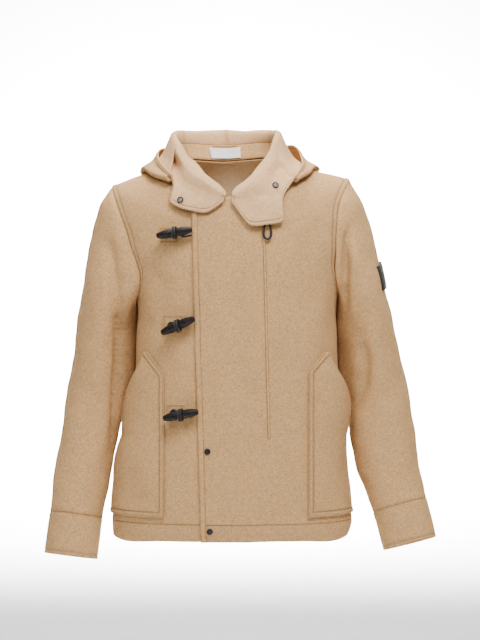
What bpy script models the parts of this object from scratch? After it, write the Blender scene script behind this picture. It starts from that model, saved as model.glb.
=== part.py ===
"""Hooded wool jacket with horn toggles, standing hollow as it hangs on a wearer.

Metres, +Z up, the front faces -Y and the wearer's left is +X. The origin is between the
shoulders, where the neck line meets the shoulder ridge. Every piece of cloth is a wall made
from a grid of points on its outer face and the same grid moved in by the cloth's thickness.
"""
import math

import bpy
import numpy as np

WOOL = 0.003                # thickness of the boiled wool
SEAM = 0.0003               # gap between pieces that are sewn together

MIDDLE_Y = 0.005            # the plane through the side seams and the shoulder seams
SQUARE = 2.4                # how square the body is in plan: 2 is an ellipse
ROUND = 2.2                 # how square the shoulder ridge is from the side
FOOT = -0.115               # below this height the body no longer rounds over to the shoulder
STEP_DOWN = 0.16            # height of one unit of rise below the foot of that rounding

HEM_SEAM = -0.6625
HEM_END = -0.695

# The body at each height: half width, sideways shift of its middle, depth in front and behind.
BODY = np.array([
    # height, half_width, shift, front, back
    (-0.695, 0.2235, -0.0020, 0.125, 0.120),
    (-0.670, 0.2278, 0.0010, 0.129, 0.124),
    (-0.640, 0.2250, 0.0000, 0.129, 0.124),
    (-0.600, 0.2205, 0.0000, 0.129, 0.124),
    (-0.545, 0.2166, -0.0010, 0.129, 0.123),
    (-0.490, 0.2070, 0.0065, 0.129, 0.122),
    (-0.420, 0.1975, 0.0100, 0.130, 0.121),
    (-0.330, 0.1900, 0.0100, 0.131, 0.121),
    (-0.255, 0.1900, 0.0100, 0.132, 0.124),
    (-0.200, 0.2050, 0.0080, 0.132, 0.127),
    (-0.160, 0.2210, 0.0050, 0.130, 0.129),
    (-0.120, 0.2280, 0.0030, 0.126, 0.129),
    (-0.080, 0.2360, 0.0010, 0.120, 0.126),
    (-0.030, 0.2470, 0.0000, 0.114, 0.120),
    (0.060, 0.2500, 0.0000, 0.112, 0.112),
])

# The shoulder ridge: its height at each distance from the middle.
SHOULDER = np.array([
    # x, height
    (-0.227, -0.0340), (-0.170, -0.0135), (-0.085, 0.0170), (0.000, 0.0440),
    (0.085, 0.0170), (0.164, -0.0070), (0.223, -0.0210),
])

# The armholes from the shoulder down to the armpit, as degrees round the body from the centre
# front (front edge) and from the centre back (back edge).
ARMHOLE = {
    -1: np.array([
        # height, front_edge, back_edge
        (-0.0340, 64.4, 64.4), (-0.0720, 61.8, 61.5), (-0.1080, 58.5, 59.0), (-0.1410, 55.8, 57.5),
        (-0.1870, 55.9, 58.5), (-0.2240, 61.1, 63.0), (-0.2450, 73.0, 74.0), (-0.2515, 90.0, 90.0),
    ]),
    1: np.array([
        (-0.0210, 62.1, 62.1), (-0.0536, 56.4, 58.5), (-0.0830, 53.6, 57.0), (-0.1223, 53.8, 56.5),
        (-0.1557, 55.0, 57.0), (-0.1950, 60.0, 61.0), (-0.2300, 72.0, 72.5), (-0.2470, 90.0, 90.0),
    ]),
}
ARMHOLE_PARTS = 10          # straight stretches along one edge of an armhole
SIDE_PARTS = 7              # along a side seam
SHOULDER_PARTS = 7          # and along a shoulder seam

# The sleeves down their middle line. x is measured outward, for either arm.
SLEEVE = {
    -1: np.array([
        # height, x, y, half_width, half_depth
        (-0.300, 0.2440, 0.014, 0.0500, 0.078), (-0.360, 0.2500, 0.020, 0.0525, 0.073),
        (-0.430, 0.2590, 0.022, 0.0550, 0.067), (-0.500, 0.2695, 0.016, 0.0550, 0.062),
        (-0.560, 0.2802, 0.006, 0.0533, 0.058), (-0.610, 0.2873, -0.004, 0.0518, 0.053),
        (-0.658, 0.2935, -0.013, 0.0500, 0.049), (-0.733, 0.3025, -0.027, 0.0490, 0.047),
    ]),
    1: np.array([
        (-0.300, 0.2590, 0.014, 0.0490, 0.078), (-0.360, 0.2680, 0.022, 0.0540, 0.074),
        (-0.430, 0.2800, 0.024, 0.0590, 0.069), (-0.500, 0.2880, 0.018, 0.0620, 0.064),
        (-0.550, 0.2945, 0.008, 0.0600, 0.059), (-0.590, 0.3040, 0.000, 0.0560, 0.054),
        (-0.640, 0.3188, -0.010, 0.0525, 0.050), (-0.710, 0.3367, -0.024, 0.0510, 0.048),
    ]),
}
CUFF_ROW = 6                # the row of that table where the cuff is sewn on
CUFF_PROUD = 0.0012         # the cuff stands this far outside the sleeve's end
CAP_FLAT = {-1: 0.5, 1: 1.0}    # how straight the outer side of the sleeve's cap falls to the arm

# The overlapping left front: its edge runs from the neck to the hem, leaning a little.
OVERLAP_TOP = (-0.0723, -0.0830)
OVERLAP_END = (-0.0550, -0.6950)
OVERLAP_LIFT = 0.0042       # it lies this far out over the right front
UNDERLAP_X = -0.006         # the right front ends here, under it
EDGE_STRIP = 0.010          # stitched strip along the overlap's edge
EDGE_PROUD = 0.0008

# Neck line on the body, and the roll that the collar and hood turn over.
NECK_X, NECK_HALF = -0.004, 0.0875
NECK_RISE_FRONT, NECK_RISE_BACK = 0.185, 0.629
ROLL_X, ROLL_Y = -0.0105, -0.0135
ROLL_HALF, ROLL_FRONT, ROLL_BACK = 0.0943, 0.0950, 0.1035
NECK_TURNS = np.array([3, 24, 46, 70, 90, 104, 117, 142, 180], float)  # corners of the neck line
BAND = 0.035                # height of the neck band inside the collar
BAND_START = 60             # degrees round the neck where the band comes out from under the flap
HOOD_SEAM = 117             # and where the side of the hood meets its middle
HOOD_CLEAR = 0.0045         # between the body and the hood that lies over it
TROUGH = 0.012              # half the breadth of the hood's turn at its lowest line

# Round the neck from the centre front (0 degrees) to the centre back (180): the height of the
# roll, and the free edge of the flap that lies on the chest.
FLAP = {
    -1: np.array([
        # turn, roll_height, edge_x, edge_height, lift
        (3, -0.0555, -0.0131, -0.0760, 0.0140), (9, -0.0430, -0.0376, -0.0932, 0.0125),
        (16, -0.0330, -0.0512, -0.0959, 0.0115), (24, -0.0220, -0.0695, -0.0930, 0.0110),
        (32, -0.0130, -0.0934, -0.0863, 0.0105), (38, -0.0040, -0.1105, -0.0748, 0.0100),
        (46, 0.0110, -0.1065, -0.0578, 0.0095), (56, 0.0330, -0.1045, -0.0385, 0.0095),
    ]),
    1: np.array([
        (3, -0.0545, 0.0006, -0.0770, 0.0140), (9, -0.0440, 0.0243, -0.1090, 0.0125),
        (16, -0.0360, 0.0380, -0.1190, 0.0115), (24, -0.0260, 0.0635, -0.1171, 0.0110),
        (32, -0.0175, 0.0915, -0.1113, 0.0105), (38, -0.0100, 0.0940, -0.0938, 0.0100),
        (46, 0.0040, 0.0935, -0.0713, 0.0095), (56, 0.0210, 0.1020, -0.0503, 0.0095),
    ]),
}

# The hood, thrown back: further round the neck the cloth falls from the roll to a trough that
# lies on the shoulders and the back, and turns up again to the free rim of the hood.
HOOD = {
    -1: np.array([
        # turn, roll_height, low_x, low_y, low_z, rim_x, rim_y, rim_z, puff, sag
        (66, 0.0460, -0.1150, -0.091, -0.0310, -0.1095, -0.097, -0.0200, 0.002, 0.004),
        (78, 0.0600, -0.1385, -0.071, -0.0240, -0.1300, -0.066, 0.0040, 0.003, 0.008),
        (90, 0.0670, -0.1570, -0.020, -0.0085, -0.1370, -0.025, 0.0230, 0.001, 0.009),
        (97, 0.0700, -0.1620, 0.036, -0.0110, -0.1360, 0.022, 0.0360, 0.006, 0.008),
        (104, 0.0730, -0.1570, 0.094, -0.0500, -0.1250, 0.066, 0.0450, 0.018, 0.006),
        (111, 0.0755, -0.1350, 0.150, -0.1250, -0.1060, 0.102, 0.0500, 0.030, 0.000),
        (117, 0.0770, -0.0880, 0.168, -0.1820, -0.0820, 0.126, 0.0510, 0.040, 0.000),
        (130, 0.0795, -0.0600, 0.173, -0.1970, -0.0590, 0.138, 0.0500, 0.045, 0.000),
        (150, 0.0830, -0.0300, 0.176, -0.2020, -0.0290, 0.146, 0.0490, 0.048, 0.000),
        (180, 0.0850, 0.0000, 0.177, -0.2030, 0.0000, 0.149, 0.0480, 0.050, 0.000),
    ]),
    1: np.array([
        (66, 0.0465, 0.1200, -0.091, -0.0320, 0.1150, -0.097, -0.0250, 0.002, 0.006),
        (78, 0.0630, 0.1350, -0.073, -0.0230, 0.1300, -0.066, -0.0010, 0.003, 0.014),
        (90, 0.0700, 0.1500, -0.026, -0.0080, 0.1300, -0.020, 0.0180, 0.001, 0.016),
        (97, 0.0720, 0.1550, 0.032, -0.0060, 0.1270, 0.022, 0.0360, 0.004, 0.014),
        (104, 0.0745, 0.1530, 0.094, -0.0480, 0.1160, 0.066, 0.0500, 0.018, 0.008),
        (111, 0.0760, 0.1340, 0.150, -0.1250, 0.1000, 0.102, 0.0520, 0.030, 0.000),
        (117, 0.0770, 0.0880, 0.168, -0.1820, 0.0800, 0.126, 0.0510, 0.040, 0.000),
        (130, 0.0795, 0.0600, 0.173, -0.1970, 0.0590, 0.138, 0.0500, 0.045, 0.000),
        (150, 0.0830, 0.0300, 0.176, -0.2020, 0.0290, 0.146, 0.0490, 0.048, 0.000),
        (180, 0.0850, 0.0000, 0.177, -0.2030, 0.0000, 0.149, 0.0480, 0.050, 0.000),
    ]),
}
# Where the cross-section of collar and hood is sampled, counted in its twelve guide points.
SECTION = np.array([0, 0.5, 1, 1.6, 2, 2.5, 3, 3.5, 4, 5, 5.5, 6, 6.5, 7, 7.5, 8, 8.5, 9, 9.5,
                    10.2, 11])
BAND_COLUMN = 2             # the sample on the seam between neck band and hood
ROLL_POINT = 4              # the guide point past which the cloth lies out over the body

# Patch pockets: x of the stitched inner edge, the slanted corner and the mouth at the side.
POCKET = {
    -1: dict(inner=-0.1210, corner_x=-0.1520, corner_z=-0.3490, knee_z=-0.3900,
             mouth_end=-0.505, end=-0.6510, bulge=0.010),
    1: dict(inner=0.1400, corner_x=0.1700, corner_z=-0.3480, knee_z=-0.3830,
            mouth_end=-0.505, end=-0.6510, bulge=0.013),
}
POCKET_WOOL = 0.0028
POCKET_CLEAR = 0.0017       # room for the panel's own roundness under the patch

# Toggles on the right front: the two ends of each, seen from the front.
TOGGLES = (
    # left_x, left_z, right_x, right_z
    (-0.1310, -0.1365, -0.0695, -0.1266),
    (-0.1200, -0.3125, -0.0637, -0.2859),
    (-0.1180, -0.4690, -0.0580, -0.4550),
)
TOGGLE_RADIUS = 0.0073
TOGGLE_END = 0.0042
TOGGLE_CLEAR = 0.0155       # from the front's face to the toggle's middle line
TOGGLE_CORD = 0.0020        # radius of its cord
TOGGLE_PATCHES = (
    # left_x, right_x, bottom_z, top_z
    (-0.1310, -0.0965, -0.1490, -0.1200),
    (-0.1250, -0.0860, -0.3150, -0.2800),
    (-0.1150, -0.0855, -0.4720, -0.4430),
)
PATCH_THICK = 0.0018

ZIP_TOP = (0.0600, -0.1330)     # the covered zip on the left front, middle of its slot
ZIP_END = (0.0690, -0.5040)
ZIP_WIDTH = 0.006
ZIP_THICK = 0.0012
PULL_CORD = 0.00215             # radius of the pull's cord
PULL_ROUTE = (                  # down one side of its loop and up the other
    # x, y, z
    (0.0683, -0.1199, -0.1116), (0.0694, -0.1199, -0.1128), (0.0706, -0.1203, -0.1161),
    (0.0719, -0.1216, -0.1209), (0.0729, -0.1233, -0.1265), (0.0730, -0.1240, -0.1322),
    (0.0717, -0.1247, -0.1371), (0.0692, -0.1253, -0.1404), (0.0659, -0.1257, -0.1416),
    (0.0627, -0.1259, -0.1404), (0.0602, -0.1258, -0.1371), (0.0589, -0.1253, -0.1322),
    (0.0589, -0.1247, -0.1265), (0.0598, -0.1227, -0.1208), (0.0609, -0.1211, -0.1160),
    (0.0621, -0.1206, -0.1128), (0.0631, -0.1203, -0.1116),
)
PULL_POINTS = 26

FRONT_SNAPS = ((-0.0428, -0.5285), (-0.0384, -0.6737))
SNAP_RADIUS = 0.0058
COLLAR_SNAPS = {-1: (-0.0926, -0.0695), 1: (0.0817, -0.0420)}
COLLAR_SNAP_RADIUS = 0.0062

LABEL_X = (-0.0400, 0.0190)
LABEL_PART = (0.10, 0.80)       # of the neck band's height
HANGER_X = (-0.0330, 0.0130)
HANGER_PART = (0.86, 0.97)
ARM_PATCH = (0.54, 0.675)       # the dark patch on the left sleeve, counted in runs of the sleeve
ARM_PATCH_AROUND = (-2, 8)      # and forward from its outer side, in ninetieths of the way round

WOOL_COLOUR = (0.53, 0.38, 0.255)
LINING_COLOUR = (0.62, 0.45, 0.335)
BLACK = (0.035, 0.032, 0.03)
LABEL_COLOUR = (0.62, 0.60, 0.57)


def smooth(knots, values, at):
    """Values at places between the knots, on a curve with no kinks."""
    knots = np.asarray(knots, float)
    values = np.asarray(values, float)
    slopes = np.gradient(values, knots, axis=0)
    at = np.clip(np.asarray(at, float), knots[0], knots[-1])
    i = np.clip(np.searchsorted(knots, at, side="right") - 1, 0, len(knots) - 2)
    step = knots[i + 1] - knots[i]
    t = (at - knots[i]) / step
    if values.ndim > 1:
        step, t = step[..., None], t[..., None]
    start = (1 + 2 * t) * (1 - t) ** 2 * values[i] + t * (1 - t) ** 2 * step * slopes[i]
    finish = t * t * (3 - 2 * t) * values[i + 1] + t * t * (t - 1) * step * slopes[i + 1]
    return start + finish


def power(value, exponent):
    """A power that keeps the value's sign."""
    return np.sign(value) * np.abs(value) ** exponent


def ease(part):
    """Smooth step from 0 to 1."""
    part = np.clip(part, 0, 1)
    return part * part * (3 - 2 * part)


def unit(vectors):
    return vectors / np.linalg.norm(vectors, axis=-1, keepdims=True)


def mix(a, b, part):
    return a + (b - a) * part


# ---- the body's face ---------------------------------------------------------------------
def torso(angle, rise):
    """Points on the outer face of the body.

    angle runs round it: 0 at the centre front, 90 degrees at the wearer's left side. rise is 1
    on the shoulder ridge and 0 where the shoulder's rounding starts; below that it is negative.
    """
    angle, rise = np.broadcast_arrays(np.asarray(angle, float), np.asarray(rise, float))
    over = np.clip(rise, 0, None) * math.pi / 2
    x = np.zeros_like(angle)
    for _ in range(5):
        top = smooth(SHOULDER[:, 0], SHOULDER[:, 1], x)
        z = np.where(rise > 0, FOOT + (top - FOOT) * np.abs(np.sin(over)) ** (2 / ROUND),
                     FOOT + rise * STEP_DOWN)
        row = smooth(BODY[:, 0], BODY[:, 1:], z)
        x = row[..., 1] + row[..., 0] * power(np.sin(angle), 2 / SQUARE)
    depth = np.where(np.cos(angle) > 0, row[..., 2], row[..., 3])
    y = MIDDLE_Y - depth * power(np.cos(angle), 2 / SQUARE) * power(np.cos(over), 2 / ROUND)
    return np.stack([x, y, z], -1)


def torso_out(angle, rise, step=1e-3):
    """Unit normals of that face, pointing out."""
    across = torso(angle + step, rise) - torso(angle - step, rise)
    up = torso(angle, rise + step) - torso(angle, rise - step)
    return unit(np.cross(across, up))


def rise_at(z, x):
    """The rise of a point at height z."""
    top = smooth(SHOULDER[:, 0], SHOULDER[:, 1], x)
    part = np.clip((z - FOOT) / (top - FOOT), 0, 1)
    return np.where(z < FOOT, (z - FOOT) / STEP_DOWN, np.arcsin(part ** (ROUND / 2)) * 2 / math.pi)


def spot(x, z):
    """Angle and rise of the point of the front that is seen at x and z."""
    x, z = np.broadcast_arrays(np.asarray(x, float), np.asarray(z, float))
    row = smooth(BODY[:, 0], BODY[:, 1:], z)
    across = np.clip((x - row[..., 1]) / row[..., 0], -1, 1)
    return np.arcsin(power(across, SQUARE / 2)), rise_at(z, x)


def evenly(points, count, measure):
    """The same curve with its points spread evenly by the length of measure(points)."""
    length = np.linalg.norm(np.diff(measure(points), axis=0), axis=1).cumsum()
    length = np.insert(length, 0, 0)
    target = np.linspace(0, length[-1], count + 1)
    return np.stack([np.interp(target, length, points[:, k]) for k in range(points.shape[1])], -1)


def armhole_edge(side, back):
    """Angle and rise along one edge of an armhole, from the shoulder down to the armpit."""
    table = ARMHOLE[side]
    at = np.linspace(0, len(table) - 1, 80)
    z, turn = (smooth(np.arange(len(table)), table[:, column], at) for column in (0, 1 + back))
    turn = np.radians(np.clip(turn, 0, 90))
    angle = side * (math.pi - turn if back else turn)
    if back:
        angle = angle % (2 * math.pi)
    width = smooth(BODY[:, 0], BODY[:, 1:], z)
    x = width[:, 1] + side * width[:, 0] * np.sin(turn) ** (2 / SQUARE)
    rise = rise_at(z, x)
    rise[0] = 1.0
    edge = np.stack([angle, rise], -1)
    return evenly(edge, ARMHOLE_PARTS, lambda p: torso(p[:, 0], p[:, 1]))


def outer_edge(side, back):
    """Side seam and armhole together, from the hem seam up to the shoulder."""
    armhole = armhole_edge(side, back)[::-1]
    heights = np.linspace(HEM_SEAM, ARMHOLE[side][-1, 0], SIDE_PARTS + 1)[:-1]
    seam = np.stack([np.full(SIDE_PARTS, armhole[0, 0]), (heights - FOOT) / STEP_DOWN], -1)
    return np.concatenate([seam, armhole])


def patch(inner, outer, bottom, top):
    """A grid filled in between four edges: rows go up, columns go from inner to outer."""
    rows, columns = len(inner), len(bottom)
    v = np.linspace(0, 1, rows)[:, None, None]
    s = np.linspace(0, 1, columns)[None, :, None]
    sides = (1 - s) * inner[:, None] + s * outer[:, None]
    ends = (1 - v) * bottom[None] + v * top[None]
    corners = ((1 - v) * ((1 - s) * bottom[0] + s * bottom[-1])
               + v * ((1 - s) * top[0] + s * top[-1]))
    return sides + ends - corners


# ---- walls of cloth ----------------------------------------------------------------------
def material(name, colour, roughness, metallic=0.0):
    finish = bpy.data.materials.new(name)
    finish.use_nodes = True
    shader = finish.node_tree.nodes["Principled BSDF"]
    shader.inputs["Base Color"].default_value = (*colour, 1)
    shader.inputs["Roughness"].default_value = roughness
    shader.inputs["Metallic"].default_value = metallic
    finish.diffuse_color = (*colour, 1)
    return finish


def build(name, vertices, faces, colour, roughness, metallic=0.0):
    mesh = bpy.data.meshes.new(name)
    mesh.from_pydata([tuple(v) for v in vertices], [], faces)
    mesh.shade_smooth()
    mesh.set_sharp_from_angle(angle=math.radians(40))
    mesh.materials.append(material(name + " finish", colour, roughness, metallic))
    piece = bpy.data.objects.new(name, mesh)
    bpy.context.scene.collection.objects.link(piece)
    return piece


def drawn_in(face, keep, ring):
    """How far each point moves to draw the piece's edges in by half a seam."""
    rows, columns = face.shape[:2]
    shift = np.zeros_like(face)
    used = np.zeros((rows + 1, columns + 1), bool)
    used[1:rows, 1:columns] = keep[:, :columns - 1]
    if ring:
        used[1:rows, 0] = used[1:rows, columns] = keep[:, columns - 1]
    below, above = used[:-1], used[1:]
    cells = {(-1, 0): below[:, :-1] | below[:, 1:], (1, 0): above[:, :-1] | above[:, 1:],
             (0, -1): used[:-1, :-1] | used[1:, :-1], (0, 1): used[:-1, 1:] | used[1:, 1:]}
    for (di, dj), here in cells.items():
        bare = here & ~cells[(-di, -dj)]
        for i, j in zip(*np.nonzero(bare)):
            towards = face[i + di, (j + dj) % columns] - face[i, j]
            shift[i, j] += towards / np.linalg.norm(towards) * SEAM / 2
    return shift


def wall(name, face, out, thick, colour=WOOL_COLOUR, ring=False, keep=None, roughness=0.95):
    """A closed wall: a grid of face points, the same moved in by thick, and a rim all round."""
    rows, columns = face.shape[:2]
    across = columns if ring else columns - 1
    if keep is None:
        keep = np.ones((rows - 1, across), bool)
    face = face + drawn_in(face, keep, ring)
    inside = face - out * np.broadcast_to(thick, face.shape[:2])[..., None]
    count = rows * columns
    quads = []
    for i, j in zip(*np.nonzero(keep)):
        k = (j + 1) % columns
        quads.append((i * columns + j, i * columns + k, (i + 1) * columns + k, (i + 1) * columns + j))
    points = np.concatenate([face.reshape(-1, 3), inside.reshape(-1, 3)])
    a, b, _, d = np.array(quads).T
    turn = np.cross(points[b] - points[a], points[d] - points[a])
    if np.sum(turn * (points[a] - points[a + count])) < 0:
        quads = [q[::-1] for q in quads]
    sides = {(q[n], q[(n + 1) % 4]) for q in quads for n in range(4)}
    rim = []
    for u, v in sorted(sides):
        if (v, u) in sides:
            continue
        if tuple(points[u][::-1].round(4)) < tuple(points[v][::-1].round(4)):
            rim += [(v, u, v + count), (u, u + count, v + count)]
        else:
            rim += [(v, u, u + count), (v, u + count, v + count)]
    lining = [tuple(v + count for v in q[::-1]) for q in quads]
    faces = quads + lining + rim
    needed = sorted({v for f in faces for v in f})
    renumber = {v: n for n, v in enumerate(needed)}
    faces = [tuple(renumber[v] for v in f) for f in faces]
    return build(name, points[needed], faces, colour, roughness)


# ---- fronts, back and hem ----------------------------------------------------------------
def overlap_x(z):
    """x of the overlapping front's edge at a height."""
    part = (z - OVERLAP_TOP[1]) / (OVERLAP_END[1] - OVERLAP_TOP[1])
    return OVERLAP_TOP[0] + (OVERLAP_END[0] - OVERLAP_TOP[0]) * part


def overlap_lift(x):
    """The overlapping front lies out over the other one, and comes back to the body past it."""
    return OVERLAP_LIFT * ease((0.055 - x) / 0.033)


def neck(side, turn):
    """Angle and rise of the neck line, turn degrees round from the centre front."""
    turn = np.radians(turn)
    low = np.where(np.cos(turn) > 0, NECK_RISE_FRONT, NECK_RISE_BACK)
    rise = low + (1 - low) * np.sin(turn) ** 2
    x = NECK_X + side * NECK_HALF * np.sin(turn)
    x_middle, half = 0.0, 0.25
    for _ in range(3):
        angle = np.arcsin(power((x - x_middle) / half, SQUARE / 2))
        z = torso(np.where(np.cos(turn) > 0, angle, math.pi - angle), rise)[..., 2]
        row = smooth(BODY[:, 0], BODY[:, 1:], z)
        x_middle, half = row[..., 1], row[..., 0]
    angle = np.where(np.cos(turn) >= 0, angle, math.pi - angle)
    return np.stack([angle, rise], -1)


def front_top(side, first):
    """The top edge of a front: from first along the neck line, then along the shoulder."""
    start = np.stack(spot(*first), -1)
    curve = neck(side, NECK_TURNS[:5])
    lead = [start, mix(start, curve[0], 0.5)] if side > 0 else [start]
    tip = armhole_edge(side, False)[0]
    ridge = np.stack([np.linspace(curve[-1, 0], tip[0], SHOULDER_PARTS + 1)[1:],
                      np.ones(SHOULDER_PARTS)], -1)
    return np.concatenate([lead, curve, ridge])


def front(side):
    """One front, from the hem seam up to the neck, shoulder, armhole and side seam."""
    outer = outer_edge(side, False)
    low_x = overlap_x(HEM_SEAM) + EDGE_STRIP if side > 0 else UNDERLAP_X
    high = ((overlap_x(OVERLAP_TOP[1]) + EDGE_STRIP, OVERLAP_TOP[1] - 0.002) if side > 0
            else (UNDERLAP_X, -0.0700))
    top = front_top(side, high)
    part = (top[:, 0] - top[0, 0]) / (top[-1, 0] - top[0, 0])
    first = spot(low_x, HEM_SEAM)
    bottom = np.stack([first[0] + (outer[0, 0] - first[0]) * part,
                       np.full(len(top), outer[0, 1])], -1)
    heights = np.concatenate([np.linspace(HEM_SEAM, -0.250, SIDE_PARTS + 1),
                              np.linspace(-0.250, high[1], ARMHOLE_PARTS + 1)[1:]])
    inner_x = overlap_x(heights) + EDGE_STRIP if side > 0 else np.full(len(heights), UNDERLAP_X)
    inner = np.stack(spot(inner_x, heights), -1)
    grid = patch(inner, outer, bottom, top)
    return lifted(grid, side)


def lifted(grid, side, extra=0.0):
    """Face points and normals for a grid of angles and rises on a front."""
    face, out = torso(grid[..., 0], grid[..., 1]), torso_out(grid[..., 0], grid[..., 1])
    lift = overlap_lift(face[..., :1]) * (np.asarray(side) > 0)
    return face + out * (lift + extra), out


def strip_rows(heights, low_x, high_x, side, extra=0.0, columns=2):
    """A level-topped piece of the front between two x limits given at each height."""
    x = np.linspace(low_x, high_x, columns, axis=-1)
    z = np.repeat(heights[:, None], columns, axis=1)
    angle, rise = spot(x, z)
    return lifted(np.stack([angle, rise], -1), side, extra)


def build_body():
    for side, name in ((1, "front_left"), (-1, "front_right")):
        wall(name, *front(side), WOOL)

    right, left = outer_edge(1, True), outer_edge(-1, True)
    ridge = np.linspace(right[-1, 0], math.pi - neck(1, 90.0)[0], SHOULDER_PARTS + 1)
    over = neck(1, NECK_TURNS[5:])
    across = neck(-1, NECK_TURNS[-2:4:-1])
    across[:, 0] = across[:, 0] % (2 * math.pi)
    ridge_left = np.linspace(math.pi - neck(-1, 90.0)[0], left[-1, 0], SHOULDER_PARTS + 1)
    level = np.ones(SHOULDER_PARTS + 1)
    top = np.concatenate([np.stack([ridge, level], -1), over, across,
                          np.stack([ridge_left, level], -1)])
    part = (top[:, 0] - top[0, 0]) / (top[-1, 0] - top[0, 0])
    bottom = np.stack([right[0, 0] + (left[0, 0] - right[0, 0]) * part,
                       np.full(len(top), right[0, 1])], -1)
    grid = patch(right, left, bottom, top)
    wall("back", torso(grid[..., 0], grid[..., 1]), torso_out(grid[..., 0], grid[..., 1]), WOOL)

    heights = np.linspace(HEM_END, OVERLAP_TOP[1] - 0.002, 16)
    edge = overlap_x(heights)
    face, out = strip_rows(heights, edge, edge + EDGE_STRIP, 1, EDGE_PROUD)
    wall("front_edge", face, out, WOOL + EDGE_PROUD)


def build_hem():
    heights = np.array([HEM_END, -0.680, HEM_SEAM])
    level = np.ones(3)
    left_seam, right_seam = level * math.pi / 2, -level * math.pi / 2
    spans = {
        "hem_front_left": (spot(overlap_x(heights) + EDGE_STRIP, heights)[0], left_seam, 11, 1),
        "hem_front_right": (spot(UNDERLAP_X * level, heights)[0], right_seam, 10, -1),
        "hem_back": (left_seam, level * 1.5 * math.pi, 18, 0),
    }
    for name, (first, last, parts, side) in spans.items():
        angle = np.linspace(first, last, parts + 1, axis=-1)
        rise = np.repeat((heights[:, None] - FOOT) / STEP_DOWN, parts + 1, axis=1)
        wall(name, *lifted(np.stack([angle, rise], -1), side), WOOL)


# ---- sleeves and cuffs -------------------------------------------------------------------
def armhole_loop(side, of):
    """Points or normals round the armhole: from the shoulder down the front, up the back."""
    front_edge, back_edge = (of(*armhole_edge(side, back).T) for back in (False, True))
    return np.concatenate([front_edge[:-1], back_edge[:0:-1], front_edge[:1]])


def sleeve_ring(side, row, around):
    """One cross-section of a sleeve, square to its middle line; row counts down its table."""
    table = SLEEVE[side]
    count = np.arange(len(table))
    height, x, y, width, depth = (smooth(count, table[:, k], row) for k in range(5))
    step = 0.05
    ahead, behind = (np.array([side * smooth(count, table[:, 1], at), smooth(count, table[:, 2], at),
                               smooth(count, table[:, 0], at)])
                     for at in (min(row + step, count[-1]), max(row - step, 0)))
    down = unit(ahead - behind)
    outward = unit(np.array([side, 0, 0]) - down * down[0] * side)
    forward = unit(np.array([0, -1, 0]) + down * down[1])
    centre = np.array([side * x, y, height])
    return (centre + np.cos(around)[:, None] * outward * width
            + np.sin(around)[:, None] * forward * depth), down


def sleeve(side, runs, around_count, proud=0.0):
    """A sleeve's face. A run of 0 is the armhole, 1 the first ring below it, then table rows."""
    around = np.linspace(0, 2 * math.pi, around_count, endpoint=False)
    place = around / math.pi * ARMHOLE_PARTS
    start, body_out = (smooth(np.arange(2 * ARMHOLE_PARTS + 1), armhole_loop(side, of), place)
                       for of in (torso, torso_out))
    start = start + body_out * (2 * SEAM * (1 - np.cos(around)))[:, None]
    first, down = sleeve_ring(side, 0, around)
    chord = np.linalg.norm(first - start, axis=1, keepdims=True)
    outer, inner = (np.clip(sign * np.cos(around), 0, 1) for sign in (1, -1))
    leave = unit(np.stack([side * (0.66 + 0.17 * outer - 0.27 * inner), -0.15 * np.sin(around),
                           -0.645 - 0.68 * outer - 0.285 * inner], -1))
    leave = leave * (0.85 - 0.53 * outer)[:, None]
    arrive = down * (1.05 - CAP_FLAT[side] * outer)[:, None]
    rows = []
    for run in runs:
        if run < 1:
            t = run
            rows.append((1 + 2 * t) * (1 - t) ** 2 * start + t * (1 - t) ** 2 * chord * leave
                        + t * t * (3 - 2 * t) * first + t * t * (t - 1) * chord * arrive)
        else:
            rows.append(sleeve_ring(side, run - 1, around)[0])
    face = np.stack(rows)
    out = ring_normals(face, side)
    if runs[0] == 0:
        over_shoulder = np.clip(2 * np.cos(around), 0, 1)[:, None]
        out[0] = unit(mix(out[0], body_out, over_shoulder))
    return face + out * proud, out


def ring_normals(face, side):
    """Unit normals of a tube of rings, pointing out."""
    around = np.roll(face, -1, axis=1) - np.roll(face, 1, axis=1)
    along = np.gradient(face, axis=0)
    return unit(np.cross(along, around)) * -side


def build_sleeves():
    runs = [0, 0.05, 0.2, 0.4, 0.6, 0.8, 1, 1.7, 2.4, 3.1, 3.8, 4.6, 5.3, 6, 1 + CUFF_ROW]
    for side, name in ((-1, "right"), (1, "left")):
        face, out = sleeve(side, runs, 2 * ARMHOLE_PARTS)
        wall("sleeve_" + name, face, out, WOOL, ring=True)
        face, out = sleeve(side, [1 + CUFF_ROW, 1.5 + CUFF_ROW, 2 + CUFF_ROW], 2 * ARMHOLE_PARTS,
                           CUFF_PROUD)
        wall("cuff_" + name, face, out, WOOL + CUFF_PROUD, ring=True)
    face, out = sleeve(1, np.linspace(*ARM_PATCH, 4), 90)
    columns = [k % 90 for k in range(ARM_PATCH_AROUND[0], ARM_PATCH_AROUND[1] + 1, 2)]
    face, out = face[:, columns], out[:, columns]
    wall("sleeve_patch", face + out * (SEAM + 0.0045), out, 0.0042, BLACK, roughness=0.7)


# ---- neck band, collar flaps and hood ----------------------------------------------------
def neck_base(side, turns):
    """Where band and collar stand on the body, and the level way out there.

    The neck line is straight between its corners, as the body's panels are cut there.
    """
    line = neck(side, NECK_TURNS)
    face, out = lifted(line, np.where(NECK_TURNS < 90, side, 0)[:, None])
    level = out * np.array([1, 1, 0])
    corners = np.concatenate([face - level * WOOL, unit(level)], -1)
    at = np.stack([np.interp(turns, NECK_TURNS, corners[:, k]) for k in range(6)], -1)
    return at[..., :3], unit(at[..., 3:])


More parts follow.
